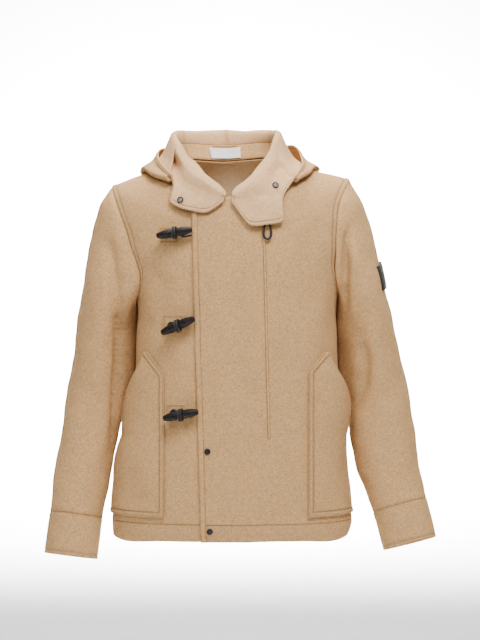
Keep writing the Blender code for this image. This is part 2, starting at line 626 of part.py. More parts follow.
def off_body(points):
    """Collar and hood points, moved out over the body where they would lie too near it."""
    angle, rise = np.meshgrid(np.radians(np.arange(1.5, 360, 3)), np.linspace(-1.2, 1, 60))
    body = torso(angle, rise).reshape(-1, 3)
    out = torso_out(angle, rise).reshape(-1, 3)
    rows = []
    for row in points:
        near = np.linalg.norm(row[:, None] - body[None], axis=-1).argmin(axis=1)
        height = np.sum((row - body[near]) * out[near], axis=-1)
        rows.append(row + out[near] * np.clip(WOOL + HOOD_CLEAR - height, 0, None)[:, None])
    return np.stack(rows)


def section(side, turn):
    """Twelve guide points across the collar and hood, turn degrees round the neck.

    They lie on the cloth's inner face, which shows: up from the neck line, over the roll, down
    to the trough and up to the rim. On a flap the last six lie along it to its free edge. The
    second result is the way that this face looks where it leaves the neck line.
    """
    rad = math.radians(turn)
    outward = np.array([side * math.sin(rad), -math.cos(rad), 0])
    up = np.array([0, 0, 1.0])
    base, away = neck_base(side, turn)
    flap, hood = FLAP[side], HOOD[side]
    heights = np.concatenate([flap[:, :2], hood[:, :2]])
    depth = ROLL_FRONT if math.cos(rad) > 0 else ROLL_BACK
    middle_x = mix(NECK_X, ROLL_X, ease(turn / BAND_START))
    roll = np.array([middle_x + side * ROLL_HALF * math.sin(rad), ROLL_Y - depth * math.cos(rad),
                     smooth(heights[:, 0], heights[:, 1], turn)])
    before, after = (neck_base(side, turn + step)[0] for step in (-6, 6))
    over_seam, looks = (np.cross(after - before, way) for way in (away, roll - base))
    over_seam = unit(over_seam) * np.sign(over_seam[2])
    looks = unit(looks) * np.sign(looks @ (over_seam - away))
    base = base + over_seam * (2 * SEAM + WOOL * max(looks @ over_seam, 0))
    height = roll[2] - base[2]
    if turn <= flap[-1, 0]:
        edge_x, edge_z, lift = (smooth(flap[:, 0], flap[:, k], turn) for k in (2, 3, 4))
        place = spot(edge_x, edge_z)
        rim = torso(*place) + torso_out(*place) * lift
        fall = roll[2] - rim[2]
        turned = roll + outward * 0.0160 - up * min(0.012, 0.5 * fall)
        lows = []
        for part in (0.3, 0.5, 0.66, 0.8, 0.91):
            x, z = mix(turned[0], rim[0], part), mix(turned[2], rim[2], part)
            here = spot(x, z)
            on_body = torso(*here) + torso_out(*here) * lift
            blend = ease(part / 0.5)
            lows.append(mix(mix(turned, rim, part), on_body, blend))
    else:
        low_x, low_y, low_z, rim_x, rim_y, rim_z, puff, sag = smooth(hood[:, 0], hood[:, 2:], turn)
        low, rim = np.array([low_x, low_y, low_z]), np.array([rim_x, rim_y, rim_z])
        fall = 0.05
        turned = roll + outward * 0.0135 - up * 0.012
        trough = outward * min(TROUGH, 0.25 * np.linalg.norm(rim - low))
        lows = [mix(turned, low, 0.36) - up * sag, mix(turned, low, 0.73) - up * 0.6 * sag,
                low - trough, low + trough + up * 0.006,
                mix(low, rim, 0.5) + unit(mix(outward, np.array([0, 1.0, 0]), 0.5)) * puff]
    band = min(BAND / max(height, 0.01), 0.6)
    inner = roll - outward * 0.002 - up * min(0.007, 0.4 * height)
    over = roll + outward * 0.010 - up * min(0.004, 0.2 * fall)
    guide = np.array([base, mix(base, inner, band) + outward * 0.002, inner,
                      roll + outward * 0.004, over, turned, *lows, rim])
    return guide, looks


def hood_grid(side, turns, samples):
    """The collar and hood on one side of the neck: a row for each turn, and its base's way out."""
    rows, base_out = [], []
    for turn in turns:
        guide, looks = section(side, turn)
        base_out.append(looks)
        length = np.insert(np.linalg.norm(np.diff(guide, axis=0), axis=1).cumsum(), 0, 0)
        rows.append(smooth(length, guide, np.interp(samples, np.arange(len(guide)), length)))
    grid = np.stack(rows)
    over = samples > ROLL_POINT
    grid[:, over] = off_body(grid[:, over])
    return grid, np.stack(base_out)


def grid_normals(face, sign):
    return unit(np.cross(np.gradient(face, axis=0), np.gradient(face, axis=1))) * sign


TURNS = np.array([3, 9, 16, 24, 32, 38, 46, 56, BAND_START + 2, 70, 79, 90, 97, 101, 104, 107.5,
                  111, 114, HOOD_SEAM, 128, 142, 160, 180], float)


def build_collar():
    (right, right_out), (left, left_out) = (hood_grid(side, TURNS, SECTION) for side in (-1, 1))
    face = np.concatenate([right, left[-2::-1]])
    turns = np.concatenate([TURNS, 360 - TURNS[-2::-1]])
    out = grid_normals(face, 1)
    if out[len(TURNS) - 1, 1, 1] > 0:
        out = -out
    out[:, 0] = np.concatenate([right_out, left_out[-2::-1]])
    middle = (turns[1:] + turns[:-1]) / 2
    column = np.arange(len(SECTION) - 1)
    near = np.minimum(middle, 360 - middle)
    band = (near > BAND_START + 1)[:, None] & (column < BAND_COLUMN)[None]
    side_piece = (near < HOOD_SEAM)[:, None] & ~band
    centre_piece = (near > HOOD_SEAM)[:, None] & ~band
    first_half = (middle < 180)[:, None] & np.ones_like(band)
    wall("neck_band", face, out, WOOL, keep=band)
    for name, half in (("right", first_half), ("left", ~first_half)):
        wall("hood_side_" + name, face, out, WOOL, LINING_COLOUR, keep=side_piece & half)
        wall("hood_middle_" + name, face, out, WOOL, keep=centre_piece & half)


def on_band(x_limits, parts, columns):
    """Points on the neck band's inner face between two x and two parts of its height."""
    corners = {side: hood_grid(side, TURNS, np.linspace(*parts, 4))[0] for side in (-1, 1)}
    rows = []
    for x in np.linspace(*x_limits, columns):
        side = 1 if x > NECK_X else -1
        turn = 180 - math.degrees(math.asin(min(1, abs(x - NECK_X) / NECK_HALF)))
        after = int(np.searchsorted(TURNS, turn))
        part = (turn - TURNS[after - 1]) / (TURNS[after] - TURNS[after - 1])
        rows.append(mix(corners[side][after - 1], corners[side][after], part))
    face = np.stack(rows)
    out = grid_normals(face, 1)
    return face, (out if out[0, 0, 1] < 0 else -out)


def build_label():
    face, out = on_band(LABEL_X, LABEL_PART, 8)
    wall("neck_label", face + out * (SEAM + 0.0014), out, 0.0008, LABEL_COLOUR, roughness=0.8)
    face, out = on_band(HANGER_X, HANGER_PART, 7)
    wall("hanger_loop", face + out * (SEAM + 0.0016), out, 0.0012)


# ---- pockets, patches and zip ------------------------------------------------------------
def build_pockets():
    for side, name in ((-1, "right"), (1, "left")):
        size = POCKET[side]
        heights = np.array([size["end"], -0.6, -0.55, size["mouth_end"], -0.47, -0.44, -0.41,
                            size["knee_z"], mix(size["knee_z"], size["corner_z"], 0.5),
                            size["corner_z"]])
        to_corner = np.clip((heights - size["knee_z"]) / (size["corner_z"] - size["knee_z"]), 0, 1)
        inner_x = mix(size["inner"], size["corner_x"], to_corner)
        open_part = ease((heights - size["mouth_end"]) / (size["corner_z"] - size["mouth_end"]))
        seam_angle = math.radians(88.5)
        corner_angle = abs(spot(size["corner_x"] + side * 0.008, size["corner_z"])[0])
        last = seam_angle + (corner_angle - seam_angle) * open_part ** 1.6
        first, rise = spot(inner_x, heights)
        part = np.linspace(0, 1, 8) ** 0.9
        angle = first[:, None] + (side * last - first)[:, None] * part[None]
        rise = np.repeat(rise[:, None], 8, axis=1)
        face, out = torso(angle, rise), torso_out(angle, rise)
        mouth = np.sin(np.pi * np.clip((heights - size["mouth_end"])
                                       / (size["corner_z"] - size["mouth_end"]), 0, 1)) ** 0.8
        stand = size["bulge"] * mouth[:, None] * ease(part * 1.1)[None] ** 1.5
        wall("pocket_" + name, face + out * (POCKET_CLEAR + POCKET_WOOL + stand)[..., None], out,
             POCKET_WOOL)


def build_patches():
    for number, (left_x, right_x, bottom, top) in enumerate(TOGGLE_PATCHES, 1):
        heights = np.linspace(bottom, top, 3)
        face, out = strip_rows(heights, np.full(3, left_x), np.full(3, right_x), -1,
                               3 * SEAM + PATCH_THICK, 4)
        wall(f"toggle_patch_{number}", face, out, PATCH_THICK)


def build_zip():
    heights = np.linspace(ZIP_TOP[1], ZIP_END[1], 9)
    middle = np.interp(heights, (ZIP_END[1], ZIP_TOP[1]), (ZIP_END[0], ZIP_TOP[0]))
    face, out = strip_rows(heights, middle - ZIP_WIDTH / 2, middle + ZIP_WIDTH / 2, 1,
                           3 * SEAM + ZIP_THICK)
    wall("zip_welt", face, out, ZIP_THICK)


# ---- toggles, snaps and cords ------------------------------------------------------------
def front_point(x, z, side, lift):
    """A point above the front, and the way out there."""
    face, out = lifted(np.stack(spot(x, z), -1), side)
    return face + out * lift, out


def lathe(name, axis, centre, profile, sides, colour, roughness, metallic=0.0):
    """A turned piece: profile rows are distance along the axis and radius."""
    axis = unit(np.asarray(axis, float))
    side = unit(np.cross(axis, (0.3, 0.2, 1.0)))
    up = np.cross(axis, side)
    points, faces = [], []
    for along, radius in profile:
        for k in range(sides):
            turn = 2 * math.pi * k / sides
            points.append(centre + axis * along
                          + (side * math.cos(turn) + up * math.sin(turn)) * radius)
    for i in range(len(profile) - 1):
        for k in range(sides):
            n = (k + 1) % sides
            faces.append((i * sides + k, i * sides + n, (i + 1) * sides + n, (i + 1) * sides + k))
    last = (len(profile) - 1) * sides
    faces.append(tuple(range(sides))[::-1])
    faces.append(tuple(last + k for k in range(sides)))
    return build(name, points, faces, colour, roughness, metallic)


def cord(name, points, radius, colour, knots=None):
    """A round cord along a smooth curve through the points."""
    points = np.asarray(points)
    if knots:
        length = np.insert(np.linalg.norm(np.diff(points, axis=0), axis=1).cumsum(), 0, 0)
        points = smooth(length, points, np.linspace(0, length[-1], knots))
    curve = bpy.data.curves.new(name, "CURVE")
    curve.dimensions = "3D"
    curve.bevel_depth = radius
    curve.bevel_resolution = 2
    curve.use_fill_caps = True
    line = curve.splines.new("POLY")
    line.points.add(len(points) - 1)
    for spot_on, place in zip(line.points, points):
        spot_on.co = (*place, 1)
    curve.materials.append(material(name + " finish", colour, 0.8))
    piece = bpy.data.objects.new(name, curve)
    bpy.context.scene.collection.objects.link(piece)
    return piece


def build_toggles():
    for number, (x0, z0, x1, z1) in enumerate(TOGGLES, 1):
        ends = [front_point(x, z, -1, TOGGLE_CLEAR)[0] for x, z in ((x0, z0), (x1, z1))]
        middle, out = front_point((x0 + x1) / 2, (z0 + z1) / 2, -1, TOGGLE_CLEAR)
        length = np.linalg.norm(ends[1] - ends[0])
        along = unit(ends[1] - ends[0])
        out = unit(out - along * (out @ along))
        places = np.array([-0.5, -0.485, -0.33, -0.16, 0, 0.16, 0.33, 0.485, 0.5])
        radii = TOGGLE_END + (TOGGLE_RADIUS - TOGGLE_END) * (1 - np.abs(places * 2) ** 2.2)
        radii[0] = radii[-1] = TOGGLE_END * 0.6
        lathe(f"toggle_{number}", along, middle, list(zip(places * length, radii)), 14, BLACK, 0.45)

        down = np.cross(out, along)
        reach = TOGGLE_RADIUS + TOGGLE_CORD + 1.5 * SEAM
        pitch = TOGGLE_CORD * 2 + SEAM
        turns = 2
        first = math.pi                 # the winding starts and ends behind the toggle
        coil = []
        for k in range(turns * 9 + 1):
            turn = first + 2 * math.pi * k / 9
            shift = (k / 9 - turns / 2) * pitch
            coil.append(middle + along * shift + (out * math.cos(turn) + down * math.sin(turn)) * reach)
        under = TOGGLE_CLEAR - PATCH_THICK - 2 * SEAM - TOGGLE_CORD
        clear_x = overlap_x(middle[2]) - middle[0] - TOGGLE_CORD
        tail = [coil[-1] + along * 0.006 - out * 0.0009,
                middle + along * (clear_x - 0.004) - out * (under - 0.001),
                middle + along * (clear_x - 0.0005) - out * (under - 0.001)]
        lead = [middle - along * 0.010 - out * (under - 0.0006) - down * 0.0035,
                middle - along * 0.0075 - out * (under - 0.0008) - down * 0.0015]
        cord(f"toggle_cord_{number}", lead + coil + tail, TOGGLE_CORD, BLACK)


def build_snaps():
    rim = 0.0012
    for number, (x, z) in enumerate(FRONT_SNAPS, 1):
        seat, out = front_point(x, z, 1, SEAM + 0.0002)
        profile = [(0, SNAP_RADIUS), (rim, SNAP_RADIUS), (rim * 1.6, SNAP_RADIUS * 0.8),
                   (rim * 1.9, SNAP_RADIUS * 0.35)]
        lathe(f"snap_{number}", out, seat, profile, 16, BLACK, 0.4, 0.3)
    for side, name in ((-1, "right"), (1, "left")):
        turns = np.linspace(14, 50, 60)
        face = hood_grid(side, turns, np.linspace(6, 11, 60))[0]
        out = grid_normals(face, 1)
        if out[30, 30, 1] > 0:
            out = -out
        x, z = COLLAR_SNAPS[side]
        away = np.hypot(face[..., 0] - x, face[..., 2] - z)
        i, j = np.unravel_index(away.argmin(), away.shape)
        radius = COLLAR_SNAP_RADIUS
        profile = [(0, radius), (rim, radius), (rim * 1.5, radius * 0.8), (rim * 0.9, radius * 0.55),
                   (rim * 1.2, radius * 0.3)]
        lathe("collar_snap_" + name, out[i, j], face[i, j] + out[i, j] * (SEAM + 0.0003), profile, 16,
              BLACK, 0.35, 0.7)


def build_pull():
    """The zip's pull: a loop of cord that hangs from under the left flap."""
    cord("zip_pull", PULL_ROUTE, PULL_CORD, BLACK, PULL_POINTS)


for old in list(bpy.data.objects):
    bpy.data.objects.remove(old)
build_body()
build_hem()
build_sleeves()
build_collar()
build_label()
build_pockets()
build_patches()
build_zip()
build_toggles()
build_snaps()
build_pull()
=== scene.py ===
"""Looks of the hooded wool jacket with horn toggles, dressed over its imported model.

Metres, +Z up, the front faces -Y and the wearer's left is +X. Every piece of cloth is a thin
closed shell on the form of its solid, with rounded edges, its seams and its soft folds.
"""

import math

import bpy
import numpy as np
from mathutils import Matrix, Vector


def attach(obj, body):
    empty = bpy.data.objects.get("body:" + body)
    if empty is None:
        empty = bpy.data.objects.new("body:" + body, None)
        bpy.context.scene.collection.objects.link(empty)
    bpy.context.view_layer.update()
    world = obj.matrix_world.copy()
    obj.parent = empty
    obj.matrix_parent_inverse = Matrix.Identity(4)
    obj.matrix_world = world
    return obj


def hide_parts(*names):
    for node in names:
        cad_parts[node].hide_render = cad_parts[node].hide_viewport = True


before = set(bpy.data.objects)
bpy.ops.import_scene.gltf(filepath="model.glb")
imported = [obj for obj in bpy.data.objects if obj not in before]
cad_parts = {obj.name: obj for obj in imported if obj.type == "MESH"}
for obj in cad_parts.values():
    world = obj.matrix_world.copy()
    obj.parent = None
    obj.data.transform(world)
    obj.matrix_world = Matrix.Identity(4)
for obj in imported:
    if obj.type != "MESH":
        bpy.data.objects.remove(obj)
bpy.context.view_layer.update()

# ---- Camera -------------------------------------------------------------------------------
# A product shot from three metres in front of the jacket, level with its middle, through a
# long lens. The field of view is 1.216 m high where the garment hangs.
VIEW_DISTANCE = 3.0
FIELD_HEIGHT = 1.216
SENSOR = 36.0
camera_data = bpy.data.cameras.new("camera")
camera_data.sensor_width = SENSOR
camera_data.lens = SENSOR * VIEW_DISTANCE / FIELD_HEIGHT
camera = bpy.data.objects.new("camera", camera_data)
camera.location = (0.01615, -VIEW_DISTANCE, -0.289)
camera.rotation_euler = (math.pi / 2, 0, 0)
bpy.context.scene.collection.objects.link(camera)
bpy.context.scene.camera = camera

# ---- Zip pull -----------------------------------------------------------------------------
# A short loop of black braided polyester cord, 4.3 mm thick, that hangs from the zip slider
# under the left collar flap. Sixteen strands are plaited round a core, so its face is ribbed.
PULL_RADIUS = 0.00215
PULL_ROUTE = (                  # down one side of its loop and up the other
    # x, y, z
    (0.0683, -0.1199, -0.1116), (0.0694, -0.1199, -0.1128), (0.0706, -0.1203, -0.1161),
    (0.0719, -0.1216, -0.1209), (0.0729, -0.1233, -0.1265), (0.0730, -0.1240, -0.1322),
    (0.0717, -0.1247, -0.1371), (0.0692, -0.1253, -0.1404), (0.0659, -0.1257, -0.1416),
    (0.0627, -0.1259, -0.1404), (0.0602, -0.1258, -0.1371), (0.0589, -0.1253, -0.1322),
    (0.0589, -0.1247, -0.1265), (0.0598, -0.1227, -0.1208), (0.0609, -0.1211, -0.1160),
    (0.0621, -0.1206, -0.1128), (0.0631, -0.1203, -0.1116),
)
BRAID_PITCH = 0.0036            # length of cord in which the plait repeats
BRAID_RELIEF = 0.09             # of the cord's radius
CORD_SIDES = 16


def smooth(knots, values, at):
    """Values at places between the knots, on a curve with no kinks."""
    knots = np.asarray(knots, float)
    values = np.asarray(values, float)
    slopes = np.gradient(values, knots, axis=0)
    at = np.clip(np.asarray(at, float), knots[0], knots[-1])
    i = np.clip(np.searchsorted(knots, at, side="right") - 1, 0, len(knots) - 2)
    step = knots[i + 1] - knots[i]
    t = (at - knots[i]) / step
    if values.ndim > 1:
        step, t = (part.reshape(part.shape + (1,) * (values.ndim - 1)) for part in (step, t))
    start = (1 + 2 * t) * (1 - t) ** 2 * values[i] + t * (1 - t) ** 2 * step * slopes[i]
    finish = t * t * (3 - 2 * t) * values[i + 1] + t * t * (t - 1) * step * slopes[i + 1]
    return start + finish


def unit(vectors):
    """The same directions, each of length 1."""
    return vectors / np.maximum(np.linalg.norm(vectors, axis=-1, keepdims=True), 1e-9)


def along(points, axis=0):
    """Distance from the first point to each of them, along a line or one way over a grid."""
    return np.insert(np.linalg.norm(np.diff(points, axis=axis), axis=-1).cumsum(axis=axis), 0, 0, axis=axis)


def linear(hex_colour):
    """An sRGB colour written #rrggbb, as the linear values that a shader takes."""
    parts = [int(hex_colour[k:k + 2], 16) / 255 for k in (1, 3, 5)]
    return (*[p / 12.92 if p <= 0.04045 else ((p + 0.055) / 1.055) ** 2.4 for p in parts], 1)


def add(tree, kind, inputs=(), **settings):
    """Adds a node: settings are its own, inputs are values or the sockets linked to them."""
    node = tree.nodes.new("ShaderNode" + kind)
    for key, value in settings.items():
        setattr(node, key, value)
    for key, value in dict(inputs).items():
        if isinstance(value, bpy.types.NodeSocket):
            tree.links.new(value, node.inputs[key])
        else:
            node.inputs[key].default_value = value
    return node


def finish_named(name, **shader_values):
    """A new material with its shader's plain values set; gives it with its tree and shader."""
    made = bpy.data.materials.new(name)
    made.use_nodes = True
    tree = made.node_tree
    shader = tree.nodes["Principled BSDF"]
    for key, value in shader_values.items():
        shader.inputs[key.replace("_", " ")].default_value = value
    return made, tree, shader


def braided_cord():
    """Braided polyester, dyed black: matt, with faint grey lights along the strands."""
    made, tree, shader = finish_named("braided polyester cord", Roughness=0.62, Specular_IOR_Level=0.4)
    place = add(tree, "TexCoord").outputs["Object"]
    strands = add(tree, "TexNoise", {"Vector": place, "Scale": 1 / 0.0012, "Detail": 3.0})
    shade = add(tree, "ValToRGB", {"Fac": strands.outputs["Fac"]})
    shade.color_ramp.elements[0].color = linear("#0e0d0c")
    shade.color_ramp.elements[1].color = linear("#2a2624")
    tree.links.new(shade.outputs["Color"], shader.inputs["Base Color"])
    bump = add(tree, "Bump", {"Height": strands.outputs["Fac"], "Strength": 0.4, "Distance": 0.0003})
    tree.links.new(bump.outputs["Normal"], shader.inputs["Normal"])
    return made


CORD_BLACK = braided_cord()


def piece_of(name, points, faces, finishes, marks=None, face_marks=None):
    """A smooth-shaded mesh object. marks is each point's painted shade, face_marks the finish of each."""
    mesh = bpy.data.meshes.new(name)
    mesh.from_pydata(np.asarray(points).tolist(), [], [list(f) for f in faces])
    for finish in finishes:
        mesh.materials.append(finish)
    if face_marks is not None:
        mesh.polygons.foreach_set("material_index", np.asarray(face_marks, np.int32))
    if marks is not None:
        # Each point's painted shade, which darkens the wool's colour.
        layer = mesh.attributes.new("seam_shade", "FLOAT", "POINT")
        layer.data.foreach_set("value", np.asarray(marks, np.float32))
    mesh.shade_smooth()
    made = bpy.data.objects.new(name, mesh)
    bpy.context.scene.collection.objects.link(made)
    return made


def tube(route, radius, step=0.0005, sides=CORD_SIDES):
    """Points and faces of a round cord with closed ends along a route, its plait in relief."""
    knots = along(route)
    path = smooth(knots, route, np.linspace(0, knots[-1], max(8, int(knots[-1] / step))))
    ahead = unit(np.gradient(path, axis=0))
    side = np.empty_like(path)
    side[0] = unit(np.cross(ahead[0], (0.31, 0.2, 0.93)))
    for k in range(1, len(path)):
        side[k] = unit(side[k - 1] - ahead[k] * (side[k - 1] @ ahead[k]))
    other = np.cross(ahead, side)
    turn = np.linspace(0, 2 * math.pi, sides, endpoint=False)
    run = along(path)[:, None] / BRAID_PITCH * 2 * math.pi
    plait = np.abs(np.sin(2 * turn + run / 2)) * np.abs(np.sin(2 * turn - run / 2))
    relief = 1 + BRAID_RELIEF * (plait - 0.5)
    ends = np.minimum(along(path), along(path)[::-1])[:, None] / radius
    relief = relief * np.sqrt(1 - (1 - np.clip(ends, 0.2, 1)) ** 2)
    rings = (path[:, None] + radius * relief[..., None]
             * (np.cos(turn)[None, :, None] * side[:, None] + np.sin(turn)[None, :, None] * other[:, None]))
    count = len(path)
    here = np.arange((count - 1) * sides).reshape(count - 1, sides)
    beside = np.roll(here, -1, axis=1)
    faces = np.stack([here, beside, beside + sides, here + sides], -1).reshape(-1, 4).tolist()
    faces += [list(range(sides))[::-1], list(range((count - 1) * sides, count * sides))]
    return rings.reshape(-1, 3), faces, path


def dressed(made, slot_name, *nodes):
    """The piece rides on the jacket's one body and stands for these nodes of the model."""
    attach(made, "root")
    if nodes:
        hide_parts(*nodes)
    return made


points, faces, path = tube(np.array(PULL_ROUTE), PULL_RADIUS)
pull = dressed(piece_of("zip_pull_cord", points, faces, [CORD_BLACK]), "cord", "zip_pull")
round(float(along(path)[-1]), 4)

# ---- Fronts, front edge and back ------------------------------------------------------------
# Boiled wool: knitted, then shrunk and milled until the stitches close to a thick felt of curly
# fibre. It is cut raw, so its edges are soft and round, and 9 mm inside each armhole seam a row
# of brown stitches holds the allowance down. The left front laps over the right one.
WOOL = 0.003                # thickness of the boiled wool
SEAM = 0.0003               # gap between pieces that are sewn together
ROUND_EDGE = 0.0012         # how far a cut edge is rounded off
MIDDLE_Y = 0.005            # the plane through the side seams and the shoulder seams
SQUARE = 2.4                # how square the body is in plan: 2 is an ellipse
ROUND = 2.2                 # how square the shoulder ridge is from the side
FOOT = -0.115               # below this height the body no longer rounds over to the shoulder
STEP_DOWN = 0.16            # height of one unit of rise below the foot of that rounding
HEM_SEAM = -0.6625
HEM_END = -0.695
OVERLAP_TOP = (-0.0723, -0.0830)    # x and height of the lapping front's edge
OVERLAP_END = (-0.0550, -0.6950)
OVERLAP_LIFT = 0.0042
FLAT_X, SINK = 0.055, 0.033     # x past which the left front lies flat again, and how far it takes
UNDERLAP_X, UNDERLAP_TOP = -0.006, -0.0700
EDGE_STRIP = 0.010
EDGE_PROUD = 0.0008
NECK_X, NECK_HALF = -0.004, 0.0875
NECK_RISE_FRONT, NECK_RISE_BACK = 0.185, 0.629
NECK_START = 3              # degrees from the centre front where the collar starts
BELOW_FLAP = 0.002          # the lapping front ends this far below the top of its edge
ARMPIT_ROW = -0.250         # height of the mesh row that runs level with the armpits
CELL = 0.0029               # size of the mesh on the large panels
STITCH_IN = 0.009           # from a seam to its row of stitches
STITCH_SHADE = 0.0016       # half the breadth of the painted shade along a row of stitches
ALLOWANCE = 0.0009          # how far the cloth stands up over the allowance inside
SLACK = 0.00035             # height of each of the cloth's slow waves
BODY = np.array([
    # height, half_width, shift, front, back
    (-0.695, 0.2235, -0.0020, 0.125, 0.120), (-0.670, 0.2278, 0.0010, 0.129, 0.124),
    (-0.640, 0.2250, 0.0000, 0.129, 0.124), (-0.600, 0.2205, 0.0000, 0.129, 0.124),
    (-0.545, 0.2166, -0.0010, 0.129, 0.123), (-0.490, 0.2070, 0.0065, 0.129, 0.122),
    (-0.420, 0.1975, 0.0100, 0.130, 0.121), (-0.330, 0.1900, 0.0100, 0.131, 0.121),
    (-0.255, 0.1900, 0.0100, 0.132, 0.124), (-0.200, 0.2050, 0.0080, 0.132, 0.127),
    (-0.160, 0.2210, 0.0050, 0.130, 0.129), (-0.120, 0.2280, 0.0030, 0.126, 0.129),
    (-0.080, 0.2360, 0.0010, 0.120, 0.126), (-0.030, 0.2470, 0.0000, 0.114, 0.120),
    (0.060, 0.2500, 0.0000, 0.112, 0.112),
])
SHOULDER = np.array([
    # x, height
    (-0.227, -0.0340), (-0.170, -0.0135), (-0.085, 0.0170), (0.000, 0.0440),
    (0.085, 0.0170), (0.164, -0.0070), (0.223, -0.0210),
])
ARMHOLE = {
    -1: np.array([
        # height, front_edge, back_edge
        (-0.0340, 64.4, 64.4), (-0.0720, 61.8, 61.5), (-0.1080, 58.5, 59.0), (-0.1410, 55.8, 57.5),
        (-0.1870, 55.9, 58.5), (-0.2240, 61.1, 63.0), (-0.2450, 73.0, 74.0), (-0.2515, 90.0, 90.0),
    ]),
    1: np.array([
        (-0.0210, 62.1, 62.1), (-0.0536, 56.4, 58.5), (-0.0830, 53.6, 57.0), (-0.1223, 53.8, 56.5),
        (-0.1557, 55.0, 57.0), (-0.1950, 60.0, 61.0), (-0.2300, 72.0, 72.5), (-0.2470, 90.0, 90.0),
    ]),
}
# Soft folds, placed as they are seen from the front or the back: three points of each fold's
# line, half its breadth, its depth (less than 0 for a ridge), and the side it is on (-1 front).
BODY_FOLDS = (
    # x0, z0, x1, z1, x2, z2, breadth, depth, side
    (-0.150, -0.150, -0.140, -0.200, -0.120, -0.245, 0.016, 0.0022, -1),
    (-0.163, -0.215, -0.150, -0.250, -0.143, -0.310, 0.014, -0.0020, -1),
    (0.150, -0.110, 0.140, -0.190, 0.128, -0.300, 0.022, 0.0020, -1),
    (0.176, -0.200, 0.168, -0.250, 0.166, -0.320, 0.012, -0.0022, -1),
    (0.020, -0.130, 0.010, -0.300, 0.020, -0.520, 0.040, 0.0018, -1),
    (-0.090, -0.180, -0.098, -0.330, -0.085, -0.600, 0.020, -0.0020, -1),
    (0.105, -0.300, 0.112, -0.450, 0.104, -0.640, 0.024, 0.0016, -1),
    (-0.180, -0.560, -0.176, -0.610, -0.178, -0.660, 0.016, 0.0024, -1),
    (0.040, -0.560, 0.048, -0.610, 0.046, -0.660, 0.020, -0.0014, -1),
    (-0.120, -0.070, -0.150, -0.100, -0.178, -0.165, 0.018, 0.0022, 1),
    (0.118, -0.070, 0.148, -0.105, 0.174, -0.170, 0.018, 0.0024, 1),
    (-0.050, -0.260, -0.056, -0.420, -0.046, -0.640, 0.030, 0.0030, 1),
    (0.060, -0.240, 0.072, -0.420, 0.066, -0.650, 0.032, 0.0028, 1),
    (0.000, -0.240, 0.008, -0.400, 0.004, -0.600, 0.028, -0.0024, 1),
    (-0.150, -0.290, -0.140, -0.400, -0.146, -0.560, 0.020, 0.0026, 1),
    (0.156, -0.270, 0.146, -0.380, 0.150, -0.520, 0.020, 0.0024, 1),
)


def power(value, exponent):
    """A power that keeps the value's sign."""
    return np.sign(value) * np.abs(value) ** exponent


def ease(part):
    """Smooth step from 0 to 1."""
    part = np.clip(part, 0, 1)
    return part * part * (3 - 2 * part)


def mix(a, b, part):
    """The value that lies part of the way from a to b."""
    return a + (b - a) * part


def bell(value, breadth, at=0.0):
    """1 where the value is at its place, falling smoothly to nothing past the breadth."""
    return np.exp(-((value - at) / breadth) ** 2)


def body(angle, rise):
    """Points on the body's outer face: angle runs round it from the centre front, rise up it."""
    angle, rise = np.broadcast_arrays(np.asarray(angle, float), np.asarray(rise, float))
    over = np.clip(rise, 0, None) * math.pi / 2
    x = np.zeros_like(angle)
    for _ in range(5):
        top = smooth(SHOULDER[:, 0], SHOULDER[:, 1], x)
        z = np.where(rise > 0, FOOT + (top - FOOT) * np.abs(np.sin(over)) ** (2 / ROUND),
                     FOOT + rise * STEP_DOWN)
        row = smooth(BODY[:, 0], BODY[:, 1:], z)
        x = row[..., 1] + row[..., 0] * power(np.sin(angle), 2 / SQUARE)
    depth = np.where(np.cos(angle) > 0, row[..., 2], row[..., 3])
    y = MIDDLE_Y - depth * power(np.cos(angle), 2 / SQUARE) * power(np.cos(over), 2 / ROUND)
    return np.stack([x, y, z], -1)


def body_out(angle, rise, step=1e-3):
    """Unit normals of that face, pointing out."""
    across = body(angle + step, rise) - body(angle - step, rise)
    up = body(angle, rise + step) - body(angle, rise - step)
    return unit(np.cross(across, up))


def rise_at(z, x):
    """The rise of a point at height z."""
    top = smooth(SHOULDER[:, 0], SHOULDER[:, 1], x)
    part = np.clip((z - FOOT) / (top - FOOT), 0, 1)
    return np.where(z < FOOT, (z - FOOT) / STEP_DOWN, np.arcsin(part ** (ROUND / 2)) * 2 / math.pi)


def spot(x, z):
    """Angle and rise of the point of the front that is seen at x and z."""
    x, z = np.broadcast_arrays(np.asarray(x, float), np.asarray(z, float))
    row = smooth(BODY[:, 0], BODY[:, 1:], z)
    across = np.clip((x - row[..., 1]) / row[..., 0], -1, 1)
    return np.arcsin(power(across, SQUARE / 2)), rise_at(z, x)


def evenly(points, count, measure):
    """The same curve with its points spread evenly by the length of measure(points)."""
    length = along(measure(points))
    target = np.linspace(0, length[-1], count + 1)
    return np.stack([np.interp(target, length, points[:, k]) for k in range(points.shape[1])], -1)


def armhole_edge(side, back, parts):
    """Angle and rise along one edge of an armhole, from the shoulder down to the armpit."""
    table = ARMHOLE[side]
    at = np.linspace(0, len(table) - 1, 400)
    z, turn = (smooth(np.arange(len(table)), table[:, column], at) for column in (0, 1 + back))
    turn = np.radians(np.clip(turn, 0, 90))
    angle = side * (math.pi - turn if back else turn)
    if back:
        angle = angle % (2 * math.pi)
    width = smooth(BODY[:, 0], BODY[:, 1:], z)
    rise = rise_at(z, width[:, 1] + side * width[:, 0] * np.sin(turn) ** (2 / SQUARE))
    rise[0] = 1.0
    return evenly(np.stack([angle, rise], -1), parts, lambda p: body(p[:, 0], p[:, 1]))


SIDE_ROWS = round((ARMHOLE[1][-1, 0] - HEM_SEAM) / CELL)
ARMHOLE_ROWS = round(0.26 / CELL)


